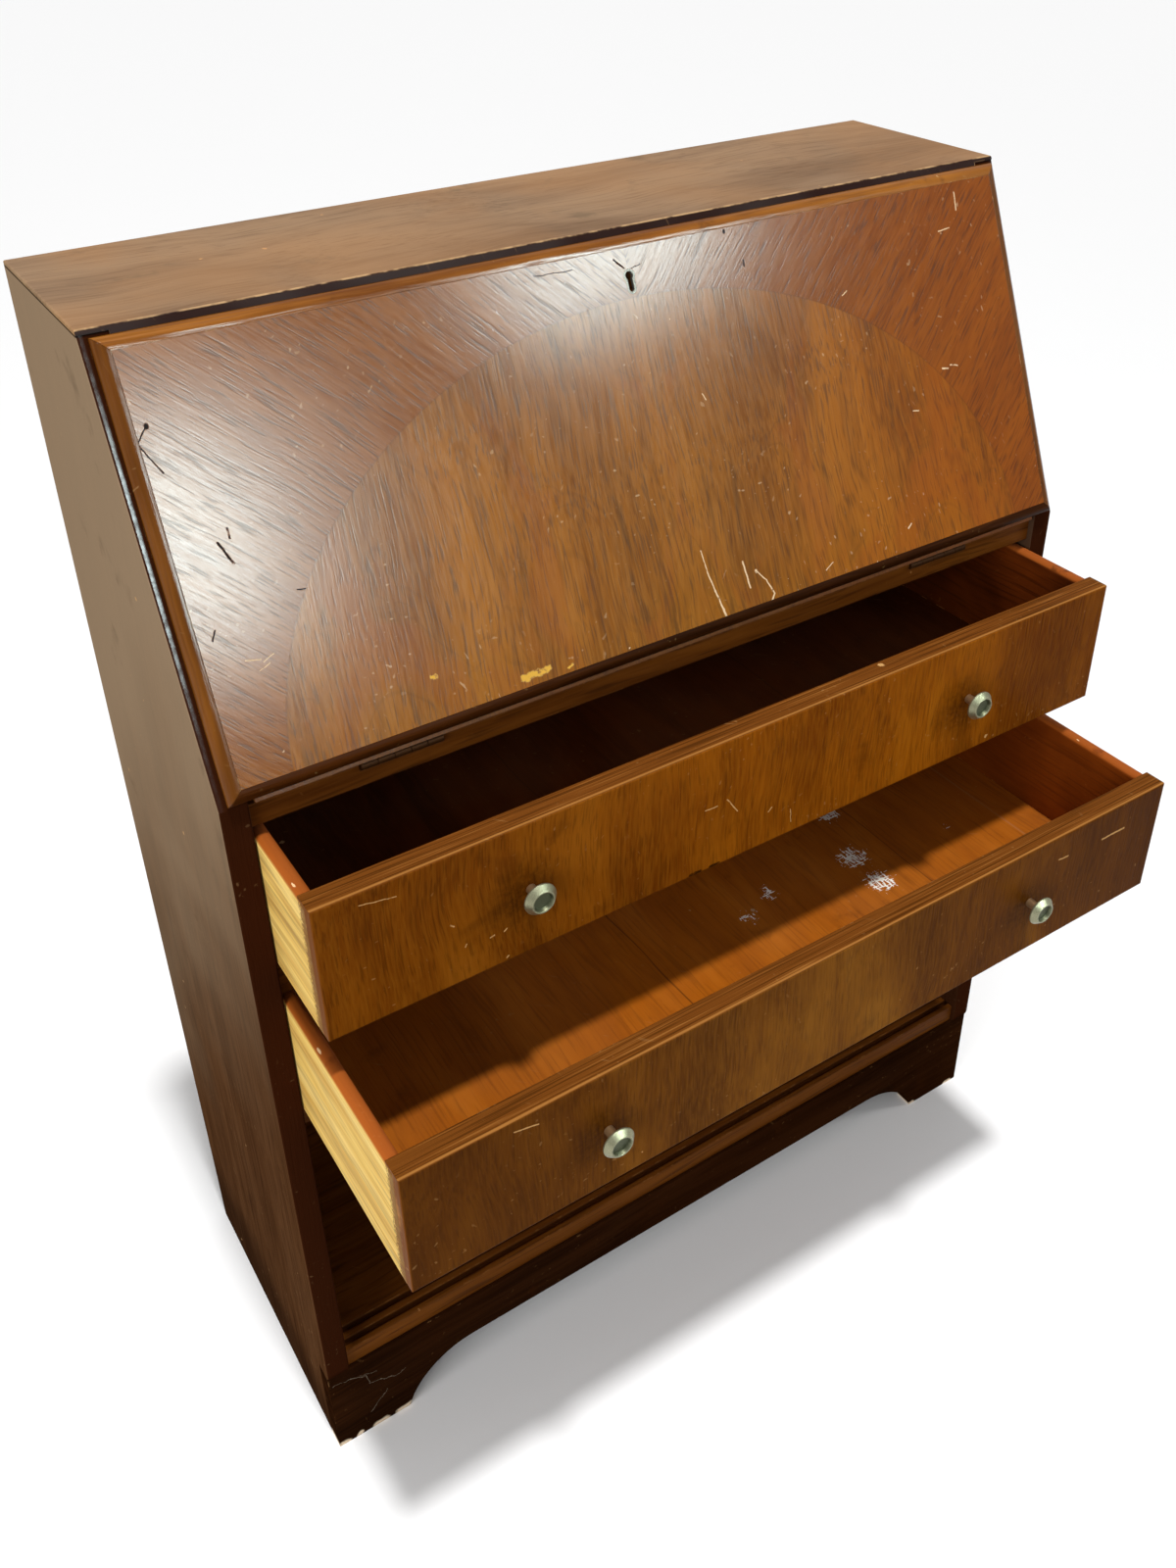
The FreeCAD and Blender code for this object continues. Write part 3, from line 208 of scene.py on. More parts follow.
# one placed mark from Start to End
def makeStroke():
    takes = {"Vector": (0, 0, 0), "Start": (0, 0, 0), "End": (0, 0, 0.01), "Width": 0.001}
    tree, given, made = newGroup("stroke", takes, ("Mask",))
    way = vecCalc(tree, "SUBTRACT", given["End"], given["Start"])
    out = vecCalc(tree, "SUBTRACT", given["Vector"], given["Start"])
    passed = vecCalc(tree, "DOT_PRODUCT", out, way)
    share = calc(tree, "DIVIDE", passed, vecCalc(tree, "DOT_PRODUCT", way, way))
    share = put(tree, "Clamp", {"Value": share}).outputs[0]
    near = put(tree, "VectorMath", {"Vector": way, "Scale": share}, operation="SCALE").outputs["Vector"]
    gap = vecCalc(tree, "DISTANCE", out, near)
    feed(tree, made["Mask"], ease(tree, gap, given["Width"], calc(tree, "MULTIPLY", given["Width"], 0.45)))


# broad drift of the stain, small dark blots and a fine mottle
def makePatina():
    takes = {"Vector": (0, 0, 0), "Scale": 5, "Seed": 0}
    tree, given, made = newGroup("patina", takes, ("Cloud", "Blots", "Mottle"))
    place = vecCalc(tree, "MULTIPLY_ADD", (1.3, 0.7, 2.1), given["Seed"], given["Vector"])
    feed(tree, made["Cloud"], ease(tree, noise(tree, place, given["Scale"], 3, 0.5, 0.4)["Fac"], 0.3, 0.7))
    blotScale = calc(tree, "MULTIPLY", given["Scale"], 4)
    feed(tree, made["Blots"], ease(tree, noise(tree, place, blotScale, 4, 0.6)["Fac"], 0.6, 0.75))
    mottleScale = calc(tree, "MULTIPLY", given["Scale"], 45)
    feed(tree, made["Mottle"], ease(tree, noise(tree, place, mottleScale, 3, 0.65)["Fac"], 0.25, 0.75))


for make in (makeGrain, makeEdgeWear, makeNicks, makeScratches, makeStroke, makePatina):
    make()
print("effects:", len(bpy.data.node_groups))


# a material being painted: colour, roughness and height build up layer by layer
class Finish:
    def __init__(self, name):
        self.material = bpy.data.materials.new(name)
        self.material.use_nodes = True
        self.tree = self.material.node_tree
        self.shader = self.tree.nodes["Principled BSDF"]
        where = put(self.tree, "TexCoord").outputs
        self.place = where["Object"]
        self.facing = put(self.tree, "SeparateXYZ", {"Vector": where["Normal"]}).outputs
        self.at = put(self.tree, "SeparateXYZ", {"Vector": self.place}).outputs
        self.colour = self.rough = self.height = self.normal = None

    def use(self, name, **inputs):
        node = put(self.tree, "Group", node_tree=bpy.data.node_groups[name])
        for key, value in inputs.items():
            feed(self.tree, node.inputs[key], value)
        return node.outputs

    def calc(self, operation, *values):
        return calc(self.tree, operation, *values)

    def ease(self, value, low, high):
        return ease(self.tree, value, low, high)

    def both(self, *masks):
        total = masks[0]
        for mask in masks[1:]:
            total = self.calc("MULTIPLY", total, mask)
        return total

    def either(self, *masks):
        total = masks[0]
        for mask in masks[1:]:
            total = self.calc("MAXIMUM", total, mask)
        return total

    def pack(self, x, y, z):
        return put(self.tree, "CombineXYZ", {"X": x, "Y": y, "Z": z}).outputs[0]

    def along(self, axis):
        x, y, z = self.at
        order = {"x": (y, z, x), "y": (x, z, y), "z": (x, y, z)}[axis]
        return self.pack(*order)

    def band(self, value, low, high, soft=0.0005):
        rise = self.ease(value, low - soft, low + soft)
        fall = self.ease(value, high + soft, high - soft)
        return self.both(rise, fall)

    def tint(self, mask, colour, kind="MIX"):
        self.colour = blend(self.tree, mask, self.colour, colour, kind)

    def stain(self, mask, amount, colour):
        self.tint(self.calc("MULTIPLY", mask, amount), colour)

    def dull(self, mask, value):
        self.rough = weigh(self.tree, mask, self.rough, value)

    def sink(self, mask, depth):
        self.height = self.calc("MULTIPLY_ADD", mask, -depth, self.height)

    # noise with a scale of its own along each axis
    def drawn(self, place, scale, *settings):
        return noise(self.tree, vecCalc(self.tree, "MULTIPLY", place, scale), 1, *settings)["Fac"]

    def strokes(self, place, marks, wobble=0.002):
        shake = noise(self.tree, place, 120, 3, 0.7)
        away = vecCalc(self.tree, "SUBTRACT", shake["Color"], (0.5, 0, 0.5))
        ragged = vecCalc(self.tree, "MULTIPLY_ADD", away, (wobble, 0, wobble), place)
        masks = []
        for (ax, az), (bx, bz), width in marks:
            ends = {"Start": (ax / 1000, 0, az / 1000), "End": (bx / 1000, 0, bz / 1000)}
            masks.append(self.use("stroke", Vector=ragged, Width=width / 1000, **ends)["Mask"])
        return self.both(self.either(*masks), self.ease(shake["Fac"], 0.3, 0.45))

    def close(self, look):
        bump = {"Height": self.height, "Strength": look["bump"], "Distance": look["relief"]}
        if self.normal is not None:
            bump["Normal"] = self.normal
        feed(self.tree, self.shader.inputs["Normal"], put(self.tree, "Bump", bump).outputs[0])
        feed(self.tree, self.shader.inputs["Base Color"], self.colour)
        feed(self.tree, self.shader.inputs["Roughness"], self.rough)
        for key, value in look.get("shader", {}).items():
            self.shader.inputs[key].default_value = value
        return self.material


poreRough = 0.24  # open pores break the sheen


def layGrain(skin, look, place, seed=0):
    grain = skin.use("woodGrain", Vector=place, Streaks=look["streaks"], Stretch=look["stretch"],
                     Fine=look["fine"], Length=look["length"], Sway=look["sway"], Seed=seed)
    skin.colour = ramp(skin.tree, grain["Figure"], look["tones"])
    skin.stain(grain["Veins"], look["veinDepth"], look["veins"])
    skin.stain(grain["Fibre"], look["fibreDepth"], look["fibre"])
    skin.stain(grain["Pores"], look["poreDepth"], look["pores"])
    skin.rough = spread(skin.tree, grain["Fibre"], *look["gloss"])
    skin.dull(skin.calc("MULTIPLY", grain["Pores"], look["poreDepth"]), poreRough)
    skin.height = grain["Height"]
    return grain


def layWear(skin, look, place):
    wear = skin.use("edgeWear", Vector=place, Radius=look["edge"], Wear=look["wear"])
    skin.normal = wear["Normal"]
    skin.stain(wear["Wear"], look["wearDepth"], look["bare"])
    chips = {"Cells": look["nickCells"], "Share": look["nickShare"], "Size": look["nickSize"]}
    nick = skin.use("nicks", Vector=place, **chips)["Mask"]
    skin.tint(nick, look["bare"])
    skin.sink(nick, look["nickDepth"])
    scratch = skin.use("scratches", Vector=place, Amount=look["scratched"])["Mask"]
    skin.tint(scratch, look["bare"])
    skin.dull(skin.either(wear["Wear"], nick), look["bareRough"])


def cover(material, *names):
    for name in names:
        mesh = nodes[name].data
        mesh.materials.clear()
        mesh.materials.append(material)


plainLook = {
    "streaks": 26, "stretch": 9, "fine": 260, "length": 26, "sway": 0.02,
    "veins": tone(38, 18, 10), "veinDepth": 0.25,
    "fibre": tone(120, 82, 52), "fibreDepth": 0.25,
    "pores": tone(28, 14, 8), "poreDepth": 0.4,
    "gloss": (0.42, 0.55), "edge": 0.0012, "wear": 0.4, "wearDepth": 0.7,
    "bare": tone(190, 150, 105), "bareRough": 0.7, "scratched": 0.15,
    "nickCells": 45, "nickShare": 0.05, "nickSize": 0.12, "nickDepth": 0.6,
    "bump": 0.2, "relief": 0.0005, "shader": {"Specular IOR Level": 0.3},
}

caseLook = {
    **plainLook,
    "tones": ((0, tone(72, 45, 25)), (0.5, tone(82, 53, 31)), (1, tone(90, 60, 37))),
    "veinDepth": 0.18, "fibreDepth": 0.22, "fine": 340,
    # the pale tone, and where it starts and ends up the side, are a painted reflection
    "reflectTone": tone(160, 137, 110), "edgeTone": tone(52, 24, 10), "grime": tone(30, 15, 9),
    "joint": tone(22, 11, 7), "reflectFrom": 0.42, "reflectTo": 0.95,
    "reflectDepth": 0.8, "blotDepth": 0.3, "footDarkening": 0.6, "innerDepth": 0.75, "rimGloss": (0.08, 0.36),
    "wear": 0.3,
    "shader": {"Specular IOR Level": 0.0, "Coat Roughness": 0.14, "Coat Tint": (1, 0.84, 0.82, 1)},
}


# the two sides: a painted reflection lightens the upper part, dark on the narrow front edges
def paintSides(look):
    skin = Finish("caseWood")
    layGrain(skin, look, skin.along("z"))
    patina = skin.use("patina", Vector=skin.place, Scale=4)
    # painted reflection: lighter towards the top, along a diagonal
    diagonal = skin.calc("MULTIPLY_ADD", skin.at[1], 0.9, skin.at[2])
    level = skin.calc("MULTIPLY_ADD", patina["Cloud"], 0.12, diagonal)
    reflect = skin.ease(level, look["reflectFrom"], look["reflectTo"])
    skin.stain(reflect, look["reflectDepth"], look["reflectTone"])
    skin.stain(patina["Blots"], look["blotDepth"], look["grime"])
    # darker towards the floor
    foot = skin.ease(skin.calc("MULTIPLY_ADD", patina["Cloud"], -0.05, skin.at[2]), 0.08, 0)
    skin.stain(foot, look["footDarkening"], look["grime"])
    edge = skin.ease(skin.facing[1], -0.5, -0.7)
    skin.tint(edge, look["edgeTone"])
    outward = skin.calc("ABSOLUTE", skin.at[0])
    rim = skin.ease(outward, caseHalf - 0.0045, caseHalf - 0.0025)
    sloped = skin.ease(skin.facing[2], 0.2, 0.35)
    gloss = skin.both(edge, rim, sloped, spread(skin.tree, patina["Mottle"], *look["rimGloss"]))
    feed(skin.tree, skin.shader.inputs["Coat Weight"], gloss)
    inner = skin.ease(outward, caseHalf - 0.006, caseHalf - 0.012)
    skin.stain(inner, look["innerDepth"], look["edgeTone"])
    skin.tint(skin.ease(skin.at[2], caseTop - 0.0048, caseTop - 0.0034), look["joint"])
    layWear(skin, look, skin.place)
    return skin.close(look)


cover(paintSides(caseLook), "left_side", "right_side")

topLook = {
    **plainLook,
    "streaks": 15, "stretch": 5, "sway": 0.06,
    "tones": ((0, tone(124, 98, 72)), (0.45, tone(144, 118, 90)), (1, tone(162, 134, 102))),
    "veins": tone(96, 74, 54), "fibre": tone(166, 140, 112), "pores": tone(86, 64, 46),
    "warm": tone(178, 132, 84), "olive": tone(116, 98, 74), "edgeTone": tone(44, 22, 16),
    "warmDepth": 0.45, "oliveDepth": 0.5, "rub": tone(214, 178, 128), "rubDepth": 0.75, "depth": 0.173,
    "wear": 0.8, "edge": 0.002, "bare": tone(206, 158, 104), "nickShare": 0.1, "fine": 360, "veinDepth": 0.2,
    "poreDepth": 0.3, "gloss": (0.45, 0.6), "topCoat": 0.3, "frontCoat": (0.02, 0.14),
    "shader": {"Specular IOR Level": 0.0, "Coat Roughness": 0.45, "Coat Tint": (1, 0.84, 0.82, 1)},
}


# the top: blotched olive and warm brown, a rubbed arris above a dark front edge
def paintTop(look):
    skin = Finish("topWood")
    layGrain(skin, look, skin.along("x"), 3)
    patina = skin.use("patina", Vector=skin.place, Scale=6, Seed=2)
    skin.stain(patina["Cloud"], look["warmDepth"], look["warm"])
    skin.stain(patina["Blots"], look["oliveDepth"], look["olive"])
    front = skin.ease(skin.facing[1], -0.3, -0.5)
    under = skin.ease(skin.facing[2], -0.4, -0.6)
    skin.tint(skin.either(front, under), look["edgeTone"])
    above = skin.ease(skin.facing[2], 0.5, 0.8)
    ahead = skin.both(front, spread(skin.tree, patina["Cloud"], *look["frontCoat"]))
    gloss = skin.either(skin.calc("MULTIPLY", above, look["topCoat"]), ahead)
    feed(skin.tree, skin.shader.inputs["Coat Weight"], gloss)
    frontLine = backPlane - look["depth"]
    arris = skin.both(skin.ease(skin.at[1], frontLine + 0.003, frontLine + 0.001), above)
    patchy = skin.ease(noise(skin.tree, skin.place, 55, 3, 0.7)["Fac"], 0.36, 0.6)
    skin.stain(skin.both(arris, patchy), look["rubDepth"], look["rub"])
    layWear(skin, look, skin.place)
    return skin.close(look)


cover(paintTop(topLook), "top_board")

fallLook = {
    "halfWidth": 0.33, "height": 0.257,
    "inner": {
        "streaks": 21, "stretch": 6, "fine": 520, "length": 18, "sway": 0.035,
        "tones": ((0, tone(122, 70, 11)), (0.45, tone(143, 86, 18)), (1, tone(158, 98, 26))),
        "veins": tone(84, 50, 20), "veinDepth": 0.3, "fibre": tone(172, 116, 46), "fibreDepth": 0.36,
        "pores": tone(70, 42, 16), "poreDepth": 0.5, "gloss": (0.15, 0.19),
    },
    "outer": {
        "streaks": 40, "stretch": 12, "fine": 540, "length": 16, "sway": 0.02,
        "tones": ((0, tone(124, 68, 13)), (0.5, tone(133, 75, 17)), (1, tone(142, 83, 22))),
        "veins": tone(92, 50, 20), "veinDepth": 0.1, "fibre": tone(164, 104, 42), "fibreDepth": 0.3,
        "pores": tone(66, 36, 14), "poreDepth": 0.58, "gloss": (0.15, 0.19),
    },
    "inside": {
        "streaks": 18, "stretch": 7, "fine": 400, "length": 26, "sway": 0.03,
        "tones": ((0, tone(92, 52, 26)), (0.5, tone(112, 67, 36)), (1, tone(132, 82, 46))),
        "veins": tone(70, 38, 18), "veinDepth": 0.3, "fibre": tone(146, 94, 54), "fibreDepth": 0.4,
        "pores": tone(60, 32, 14), "poreDepth": 0.5, "gloss": (0.16, 0.2),
    },
    "red": tone(150, 74, 30), "redDepth": 0.2, "streak": tone(58, 44, 25), "streakDepth": 0.36,
    "seam": tone(70, 38, 16), "seamDepth": 0.25, "tideDepth": 0.14, "cloudDepth": 0.15,
    # right: painted shade that darkens and reddens the fall towards its right end
    "amber": (0.96, 0.95, 0.5, 1), "right": (1.1, 0.84, 0.1, 1),
    "pale": tone(236, 206, 160), "yellow": tone(222, 172, 62), "black": tone(16, 9, 6),
    "bump": 0.28, "relief": 0.00005, "shader": {"Specular IOR Level": 0.2},
}

# placed marks on the fall: ends as (across, up the slope) and half width, in mm
darkMarks = (
    ((-358, 245), (-358, 244), 1.8), ((-358, 245), (-366, 235), 0.6), ((-366, 235), (-356, 215), 0.6),
    ((-336, 166), (-330, 151), 1.0), ((-328, 173), (-328, 167), 0.9), ((-295, 124), (-290, 123), 0.6),
    ((-353, 114), (-356, 108), 0.7), ((-10, 285), (-3, 278), 0.8), ((3, 277), (11, 279), 0.35),
    ((-76, 285), (-45, 284), 0.35), ((89, 290), (89, 289), 1.4), ((101, 266), (101, 262), 1.0),
)
paleMarks = (
    ((9, 66), (11, 49), 0.5), ((11, 49), (14, 34), 0.7), ((14, 34), (18, 18), 1.0), ((18, 18), (20, 5), 1.2),
    ((44, 48), (46, 27), 0.9), ((54, 38), (54, 37), 1.5), ((54, 38), (62, 28), 0.6),
    ((62, 28), (67, 16), 0.8), ((67, 16), (60, 7), 1.0), ((60, 7), (52, 3), 1.4), ((11, 3), (27, 4), 1.8),
    ((36, 4), (44, 3), 1.0), ((166, 9), (172, 10), 1.8), ((-163, 6), (-156, 4), 2.6),
    ((-340, 90), (-330, 88), 0.35), ((-329, 86), (-321, 89), 0.35), ((-333, 81), (-325, 84), 0.35),
    ((-331, 11), (-324, 10), 0.5), ((323, 284), (322, 270), 0.8), ((299, 256), (311, 257), 0.6),
    ((277, 148), (283, 147), 0.9), ((286, 149), (294, 147), 0.7), ((188, 224), (193, 227), 0.5),
    ((40, 178), (42, 173), 0.5), ((238, 121), (244, 120), 0.6), ((120, 20), (128, 24), 0.5),
    ((210, 30), (214, 33), 0.7),
)
yellowMarks = (((-156, 19), (-136, 20), 3.0), ((-222, 41), (-220, 41), 2.0), ((-120, 16), (-117, 18), 1.4))


# a place on the fall: across, out of its face and up the slope
def slopePlace(skin):
    turned = {"Vector": skin.place, "Location": (0, frontPlane, slope["foot"]), "Rotation": (-lean, 0, 0)}
    local = put(skin.tree, "Mapping", turned, vector_type="TEXTURE").outputs[0]
    return put(skin.tree, "SeparateXYZ", {"Vector": local}).outputs


# the fall: an arch of upright book-matched veneer in a field of slanting veneer
def paintFall(look):
    skin = Finish("fallVeneer")
    tree = skin.tree
    x, depth, up = slopePlace(skin)
    flat = skin.pack(x, 0, up)
    mirrored = skin.calc("ABSOLUTE", x)
    half = skin.calc("MULTIPLY", skin.calc("SIGN", x), 0.35)

    layGrain(skin, look["inside"], skin.pack(up, 0, x), 15)
    inside = skin.colour
    diagonal = 0.7071
    acrossGrain = skin.calc("MULTIPLY", skin.calc("SUBTRACT", mirrored, up), diagonal)
    alongGrain = skin.calc("MULTIPLY", skin.calc("ADD", mirrored, up), diagonal)
    layGrain(skin, look["outer"], skin.pack(acrossGrain, half, alongGrain), 5)
    outer = (skin.colour, skin.rough, skin.height)
    layGrain(skin, look["inner"], skin.pack(mirrored, skin.calc("MULTIPLY", half, 0.02), up), 11)
    folded = skin.pack(mirrored, 0, up)
    streak = skin.drawn(folded, (62, 0, 5), 3, 0.6, 0.7)
    skin.stain(skin.ease(streak, 0.6, 0.74), look["streakDepth"], look["streak"])
    flush = skin.drawn(folded, (13, 0, 7), 3, 0.6, 1.5)
    skin.stain(skin.ease(flush, 0.5, 0.62), look["redDepth"], look["red"])
    tide = skin.calc("ABSOLUTE", skin.calc("SUBTRACT", flush, 0.5))
    skin.stain(skin.ease(tide, 0.02, 0.004), look["tideDepth"], look["seam"])

    across = skin.calc("POWER", skin.calc("DIVIDE", x, look["halfWidth"]), 2)
    rise = skin.calc("POWER", skin.calc("DIVIDE", up, look["height"]), 2)
    arch = skin.calc("SQRT", skin.calc("ADD", across, rise))
    field = skin.ease(arch, 0.9975, 1.0025)
    skin.colour = blend(tree, field, skin.colour, outer[0])
    skin.rough = weigh(tree, field, skin.rough, outer[1])
    skin.height = weigh(tree, field, skin.height, outer[2])
    seam = skin.band(arch, 0.998, 1.002, 0.002)
    middle = skin.both(skin.band(x, -0.0003, 0.0003, 0.0004), field)
    skin.stain(skin.either(seam, middle), look["seamDepth"], look["seam"])

    patina = skin.use("patina", Vector=skin.place, Scale=5, Seed=4)
    skin.stain(patina["Cloud"], look["cloudDepth"], look["seam"])
    level = skin.calc("MULTIPLY_ADD", patina["Cloud"], -0.05, up)
    skin.tint(skin.ease(level, 0.05, -0.01), look["amber"], "MULTIPLY")  # along the foot
    skin.tint(skin.ease(x, 0.02, 0.34), look["right"], "MULTIPLY")  # painted shade: darker and redder to the right, away from the sheen
    skin.rough = skin.calc("MULTIPLY_ADD", patina["Mottle"], 0.03, skin.rough)
    front = skin.ease(depth, -0.0075, -0.0085)
    back = skin.ease(depth, -0.002, 0.001)
    skin.tint(back, inside)
    nick = skin.use("nicks", Vector=flat, Cells=36, Share=0.1, Size=0.08)["Mask"]
    chip = skin.use("nicks", Vector=flat, Cells=75, Share=0.3, Size=0.16)["Mask"]
    nick = skin.either(nick, skin.both(chip, skin.ease(up, 0.055, 0.004)))
    scratch = skin.use("scratches", Vector=flat, Amount=0.35)["Mask"]
    pale = skin.strokes(flat, paleMarks)
    dark = skin.strokes(flat, darkMarks)
    yellow = skin.strokes(flat, yellowMarks, 0.009)
    skin.tint(skin.both(front, skin.either(nick, scratch, pale)), look["pale"])
    skin.tint(skin.both(front, yellow), look["yellow"])
    skin.tint(skin.both(front, dark), look["black"])
    skin.dull(skin.both(front, skin.either(nick, pale, yellow, dark)), 0.85)
    skin.sink(skin.either(pale, dark, yellow, nick), 0.8)
    return skin.close(look)


cover(paintFall(fallLook), "fall_panel")

lipLook = {
    **plainLook,
    "streaks": 34, "stretch": 14, "fine": 300,
    "tones": ((0, tone(116, 62, 8)), (0.5, tone(142, 82, 14)), (1, tone(164, 100, 24))),
    "veins": tone(90, 46, 8), "fibre": tone(196, 126, 44), "pores": tone(96, 50, 10), "poreDepth": 0.3,
    "gloss": (0.16, 0.24), "edge": 0.0015, "wear": 0.62, "bare": tone(226, 190, 126), "nickShare": 0.1,
    "grime": tone(44, 20, 8), "cloudDepth": 0.3, "blotDepth": 0.4, "backDarkening": 0.8,
    "shader": {"Specular IOR Level": 0.25},
}


# rounded edging of the fall, its grain along each length
def paintLipping(name, look, upright):
    skin = Finish(name)
    x, depth, up = slopePlace(skin)
    layGrain(skin, look, skin.pack(x, depth, up) if upright else skin.pack(up, depth, x), 7)
    patina = skin.use("patina", Vector=skin.place, Scale=9, Seed=6)
    skin.stain(patina["Cloud"], look["cloudDepth"], look["veins"])
    skin.stain(patina["Blots"], look["blotDepth"], look["grime"])
    # darker towards the back of the lipping
    skin.stain(skin.ease(depth, -0.004, -0.001), look["backDarkening"], look["grime"])
    layWear(skin, look, skin.place)
    return skin.close(look)


cover(paintLipping("lippingAcross", lipLook, False), "fall_lipping_top")
uprightLipLook = {
    **lipLook,
    "tones": ((0, tone(76, 38, 4)), (0.5, tone(98, 54, 7)), (1, tone(118, 68, 13))),
    "veins": tone(62, 30, 5), "fibre": tone(146, 88, 26), "shader": {"Specular IOR Level": 0.15},
}
cover(paintLipping("lippingUpright", uprightLipLook, True), "fall_lipping_left", "fall_lipping_right")
# painted shade: the lower lipping is the same wood as the others, painted near black along the fall's lower
# edge
shadedLowerLipLook = {
    **lipLook,
    "tones": ((0, tone(38, 16, 2)), (0.5, tone(54, 24, 3)), (1, tone(70, 34, 6))), "wear": 0.4,
    "veins": tone(38, 17, 5), "fibre": tone(100, 55, 18), "pores": tone(38, 17, 5), "gloss": (0.35, 0.45),
    "shader": {"Specular IOR Level": 0.02},
}
cover(paintLipping("lippingBelowShaded", shadedLowerLipLook, False), "fall_lipping_bottom")

frontLook = {
    **plainLook,
    "streaks": 13, "stretch": 3.4, "fine": 520, "length": 14, "sway": 0.04,
    "tones": ((0, tone(94, 45, 5)), (0.4, tone(114, 59, 7)), (0.75, tone(128, 70, 10)),
              (1, tone(142, 82, 16))),
    "veins": tone(68, 32, 5), "veinDepth": 0.15, "fibre": tone(152, 92, 22), "fibreDepth": 0.32,
    "pores": tone(60, 29, 4), "poreDepth": 0.36, "gloss": (0.36, 0.46),
    "golden": (1.6, 1.6, 1.0, 1), "core": tone(116, 66, 22), "line": tone(176, 120, 58),
    # one dark tone for the dark ply lines and the painted shadows of the knobs
    "plyLineAndKnobShadow": tone(46, 22, 4), "back": tone(118, 58, 10), "blotDepth": 0.35, "glueDepth": 0.75,
    "darkPly": 0.55, "palePly": 0.5,
    "wear": 0.5, "bare": tone(206, 160, 100), "nickCells": 34, "nickShare": 0.12, "scratched": 0.25,
    "shader": {"Specular IOR Level": 0.01},
}


# a drawer front: upright figured veneer, a pale glue line along its top edge
def paintFront(name, node, look, golden, endShade, marks, darks, seed):
    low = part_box(node)[0]
    skin = Finish(name)
    layGrain(skin, look, skin.along("z"), seed)
    x, y, z = skin.at
    height = skin.calc("SUBTRACT", z, low.z)
    flat = skin.pack(x, 0, height)
    patina = skin.use("patina", Vector=skin.place, Scale=5, Seed=seed)
    centre, reach, amount = golden
    glow = skin.ease(skin.calc("ABSOLUTE", skin.calc("SUBTRACT", x, centre)), reach, reach * 0.2)
    glow = skin.both(skin.calc("MULTIPLY", glow, amount), spread(skin.tree, patina["Cloud"], 0.6, 1))
    skin.tint(glow, look["golden"], "MULTIPLY")
    outward = skin.ease(skin.calc("ABSOLUTE", x), 0.2, 0.4)
    skin.stain(outward, endShade, look["veins"])
    skin.stain(patina["Blots"], look["blotDepth"], look["veins"])
    top = skin.ease(skin.facing[2], 0.5, 0.8)
    # painted shadow of each knob, down and to the left of it
    for hand in ("left", "right"):
        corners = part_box(node.replace("drawer_front", "knob_" + hand))
        knob = (corners[0] + corners[1]) / 2
        gap = vecCalc(skin.tree, "DISTANCE", skin.pack(x, 0, z), (knob.x - 0.005, 0, knob.z - 0.005))
        knobShadow = skin.both(skin.ease(gap, 0.042, 0.006), spread(skin.tree, patina["Mottle"], 0.3, 0.7))
        skin.tint(knobShadow, look["plyLineAndKnobShadow"])
    skin.tint(top, look["core"])
    plies = skin.drawn(skin.place, (9, 700, 0), 2)
    skin.stain(skin.both(top, skin.ease(plies, 0.48, 0.64)), look["darkPly"], look["plyLineAndKnobShadow"])
    skin.stain(skin.both(top, skin.ease(plies, 0.42, 0.3)), look["palePly"], look["line"])
    glue = skin.both(top, skin.band(y, low.y + 0.0008, low.y + 0.0024, 0.0004))
    skin.stain(glue, look["glueDepth"], look["line"])
    back = skin.ease(skin.facing[1], 0.4, 0.7)
    skin.tint(back, look["back"])
    flank = skin.ease(skin.calc("ABSOLUTE", skin.facing[0]), 0.5, 0.8)
    skin.tint(flank, look["core"])
    skin.tint(skin.both(flank, patina["Blots"]), look["line"])
    front = skin.ease(y, low.y + 0.0006, low.y + 0.0002)
    pale = skin.both(front, skin.strokes(flat, marks))
    skin.tint(pale, look["bare"])
    if darks:
        skin.tint(skin.both(front, skin.strokes(flat, darks)), look["pores"])
    skin.sink(pale, 0.6)
    layWear(skin, look, skin.place)
    return skin.close(look)


upperMarks = (((-328, 102), (-303, 97), 0.5), ((-59, 57), (-48, 57), 0.6), ((-39, 59), (-29, 44), 0.7),
              ((1, 30), (4, 33), 0.7), ((23, 23), (24, 10), 0.5), ((-268, 54), (-265, 52), 0.7),
              ((-239, 28), (-236, 29), 0.8), ((-228, 28), (-226, 30), 0.7), ((-227, 4), (-226, 5), 0.9),
              ((-258, 30), (-257, 32), 0.6))
upperDarks = (((-71, 2), (-62, 2), 2.0), ((-53, 2), (-45, 2), 1.6))
lowerMarks = (((288, 84), (315, 84), 1.2), ((235, 87), (246, 86), 1.0), ((-278, 102), (-260, 98), 0.8))
upperGlow = (0.07, 0.3, 0.9)  # golden patch: where across the front, its reach and strength
lowerGlow = (-0.03, 0.19, 0.9)
cover(paintFront("upperFront", "upper_drawer_front", frontLook, upperGlow, 0.12, upperMarks, upperDarks, 13),
      "upper_drawer_front")
lowerFrontLook = {
    **frontLook,
    "tones": ((0, tone(76, 39, 5)), (0.4, tone(94, 51, 8)), (0.75, tone(108, 62, 12)),
              (1, tone(124, 76, 20))),
    "fibre": tone(132, 82, 26), "golden": (1.5, 1.7, 1.9, 1),
}
cover(paintFront("lowerFront", "lower_drawer_front", lowerFrontLook, lowerGlow, 0.5, lowerMarks, None, 21),
      "lower_drawer_front")

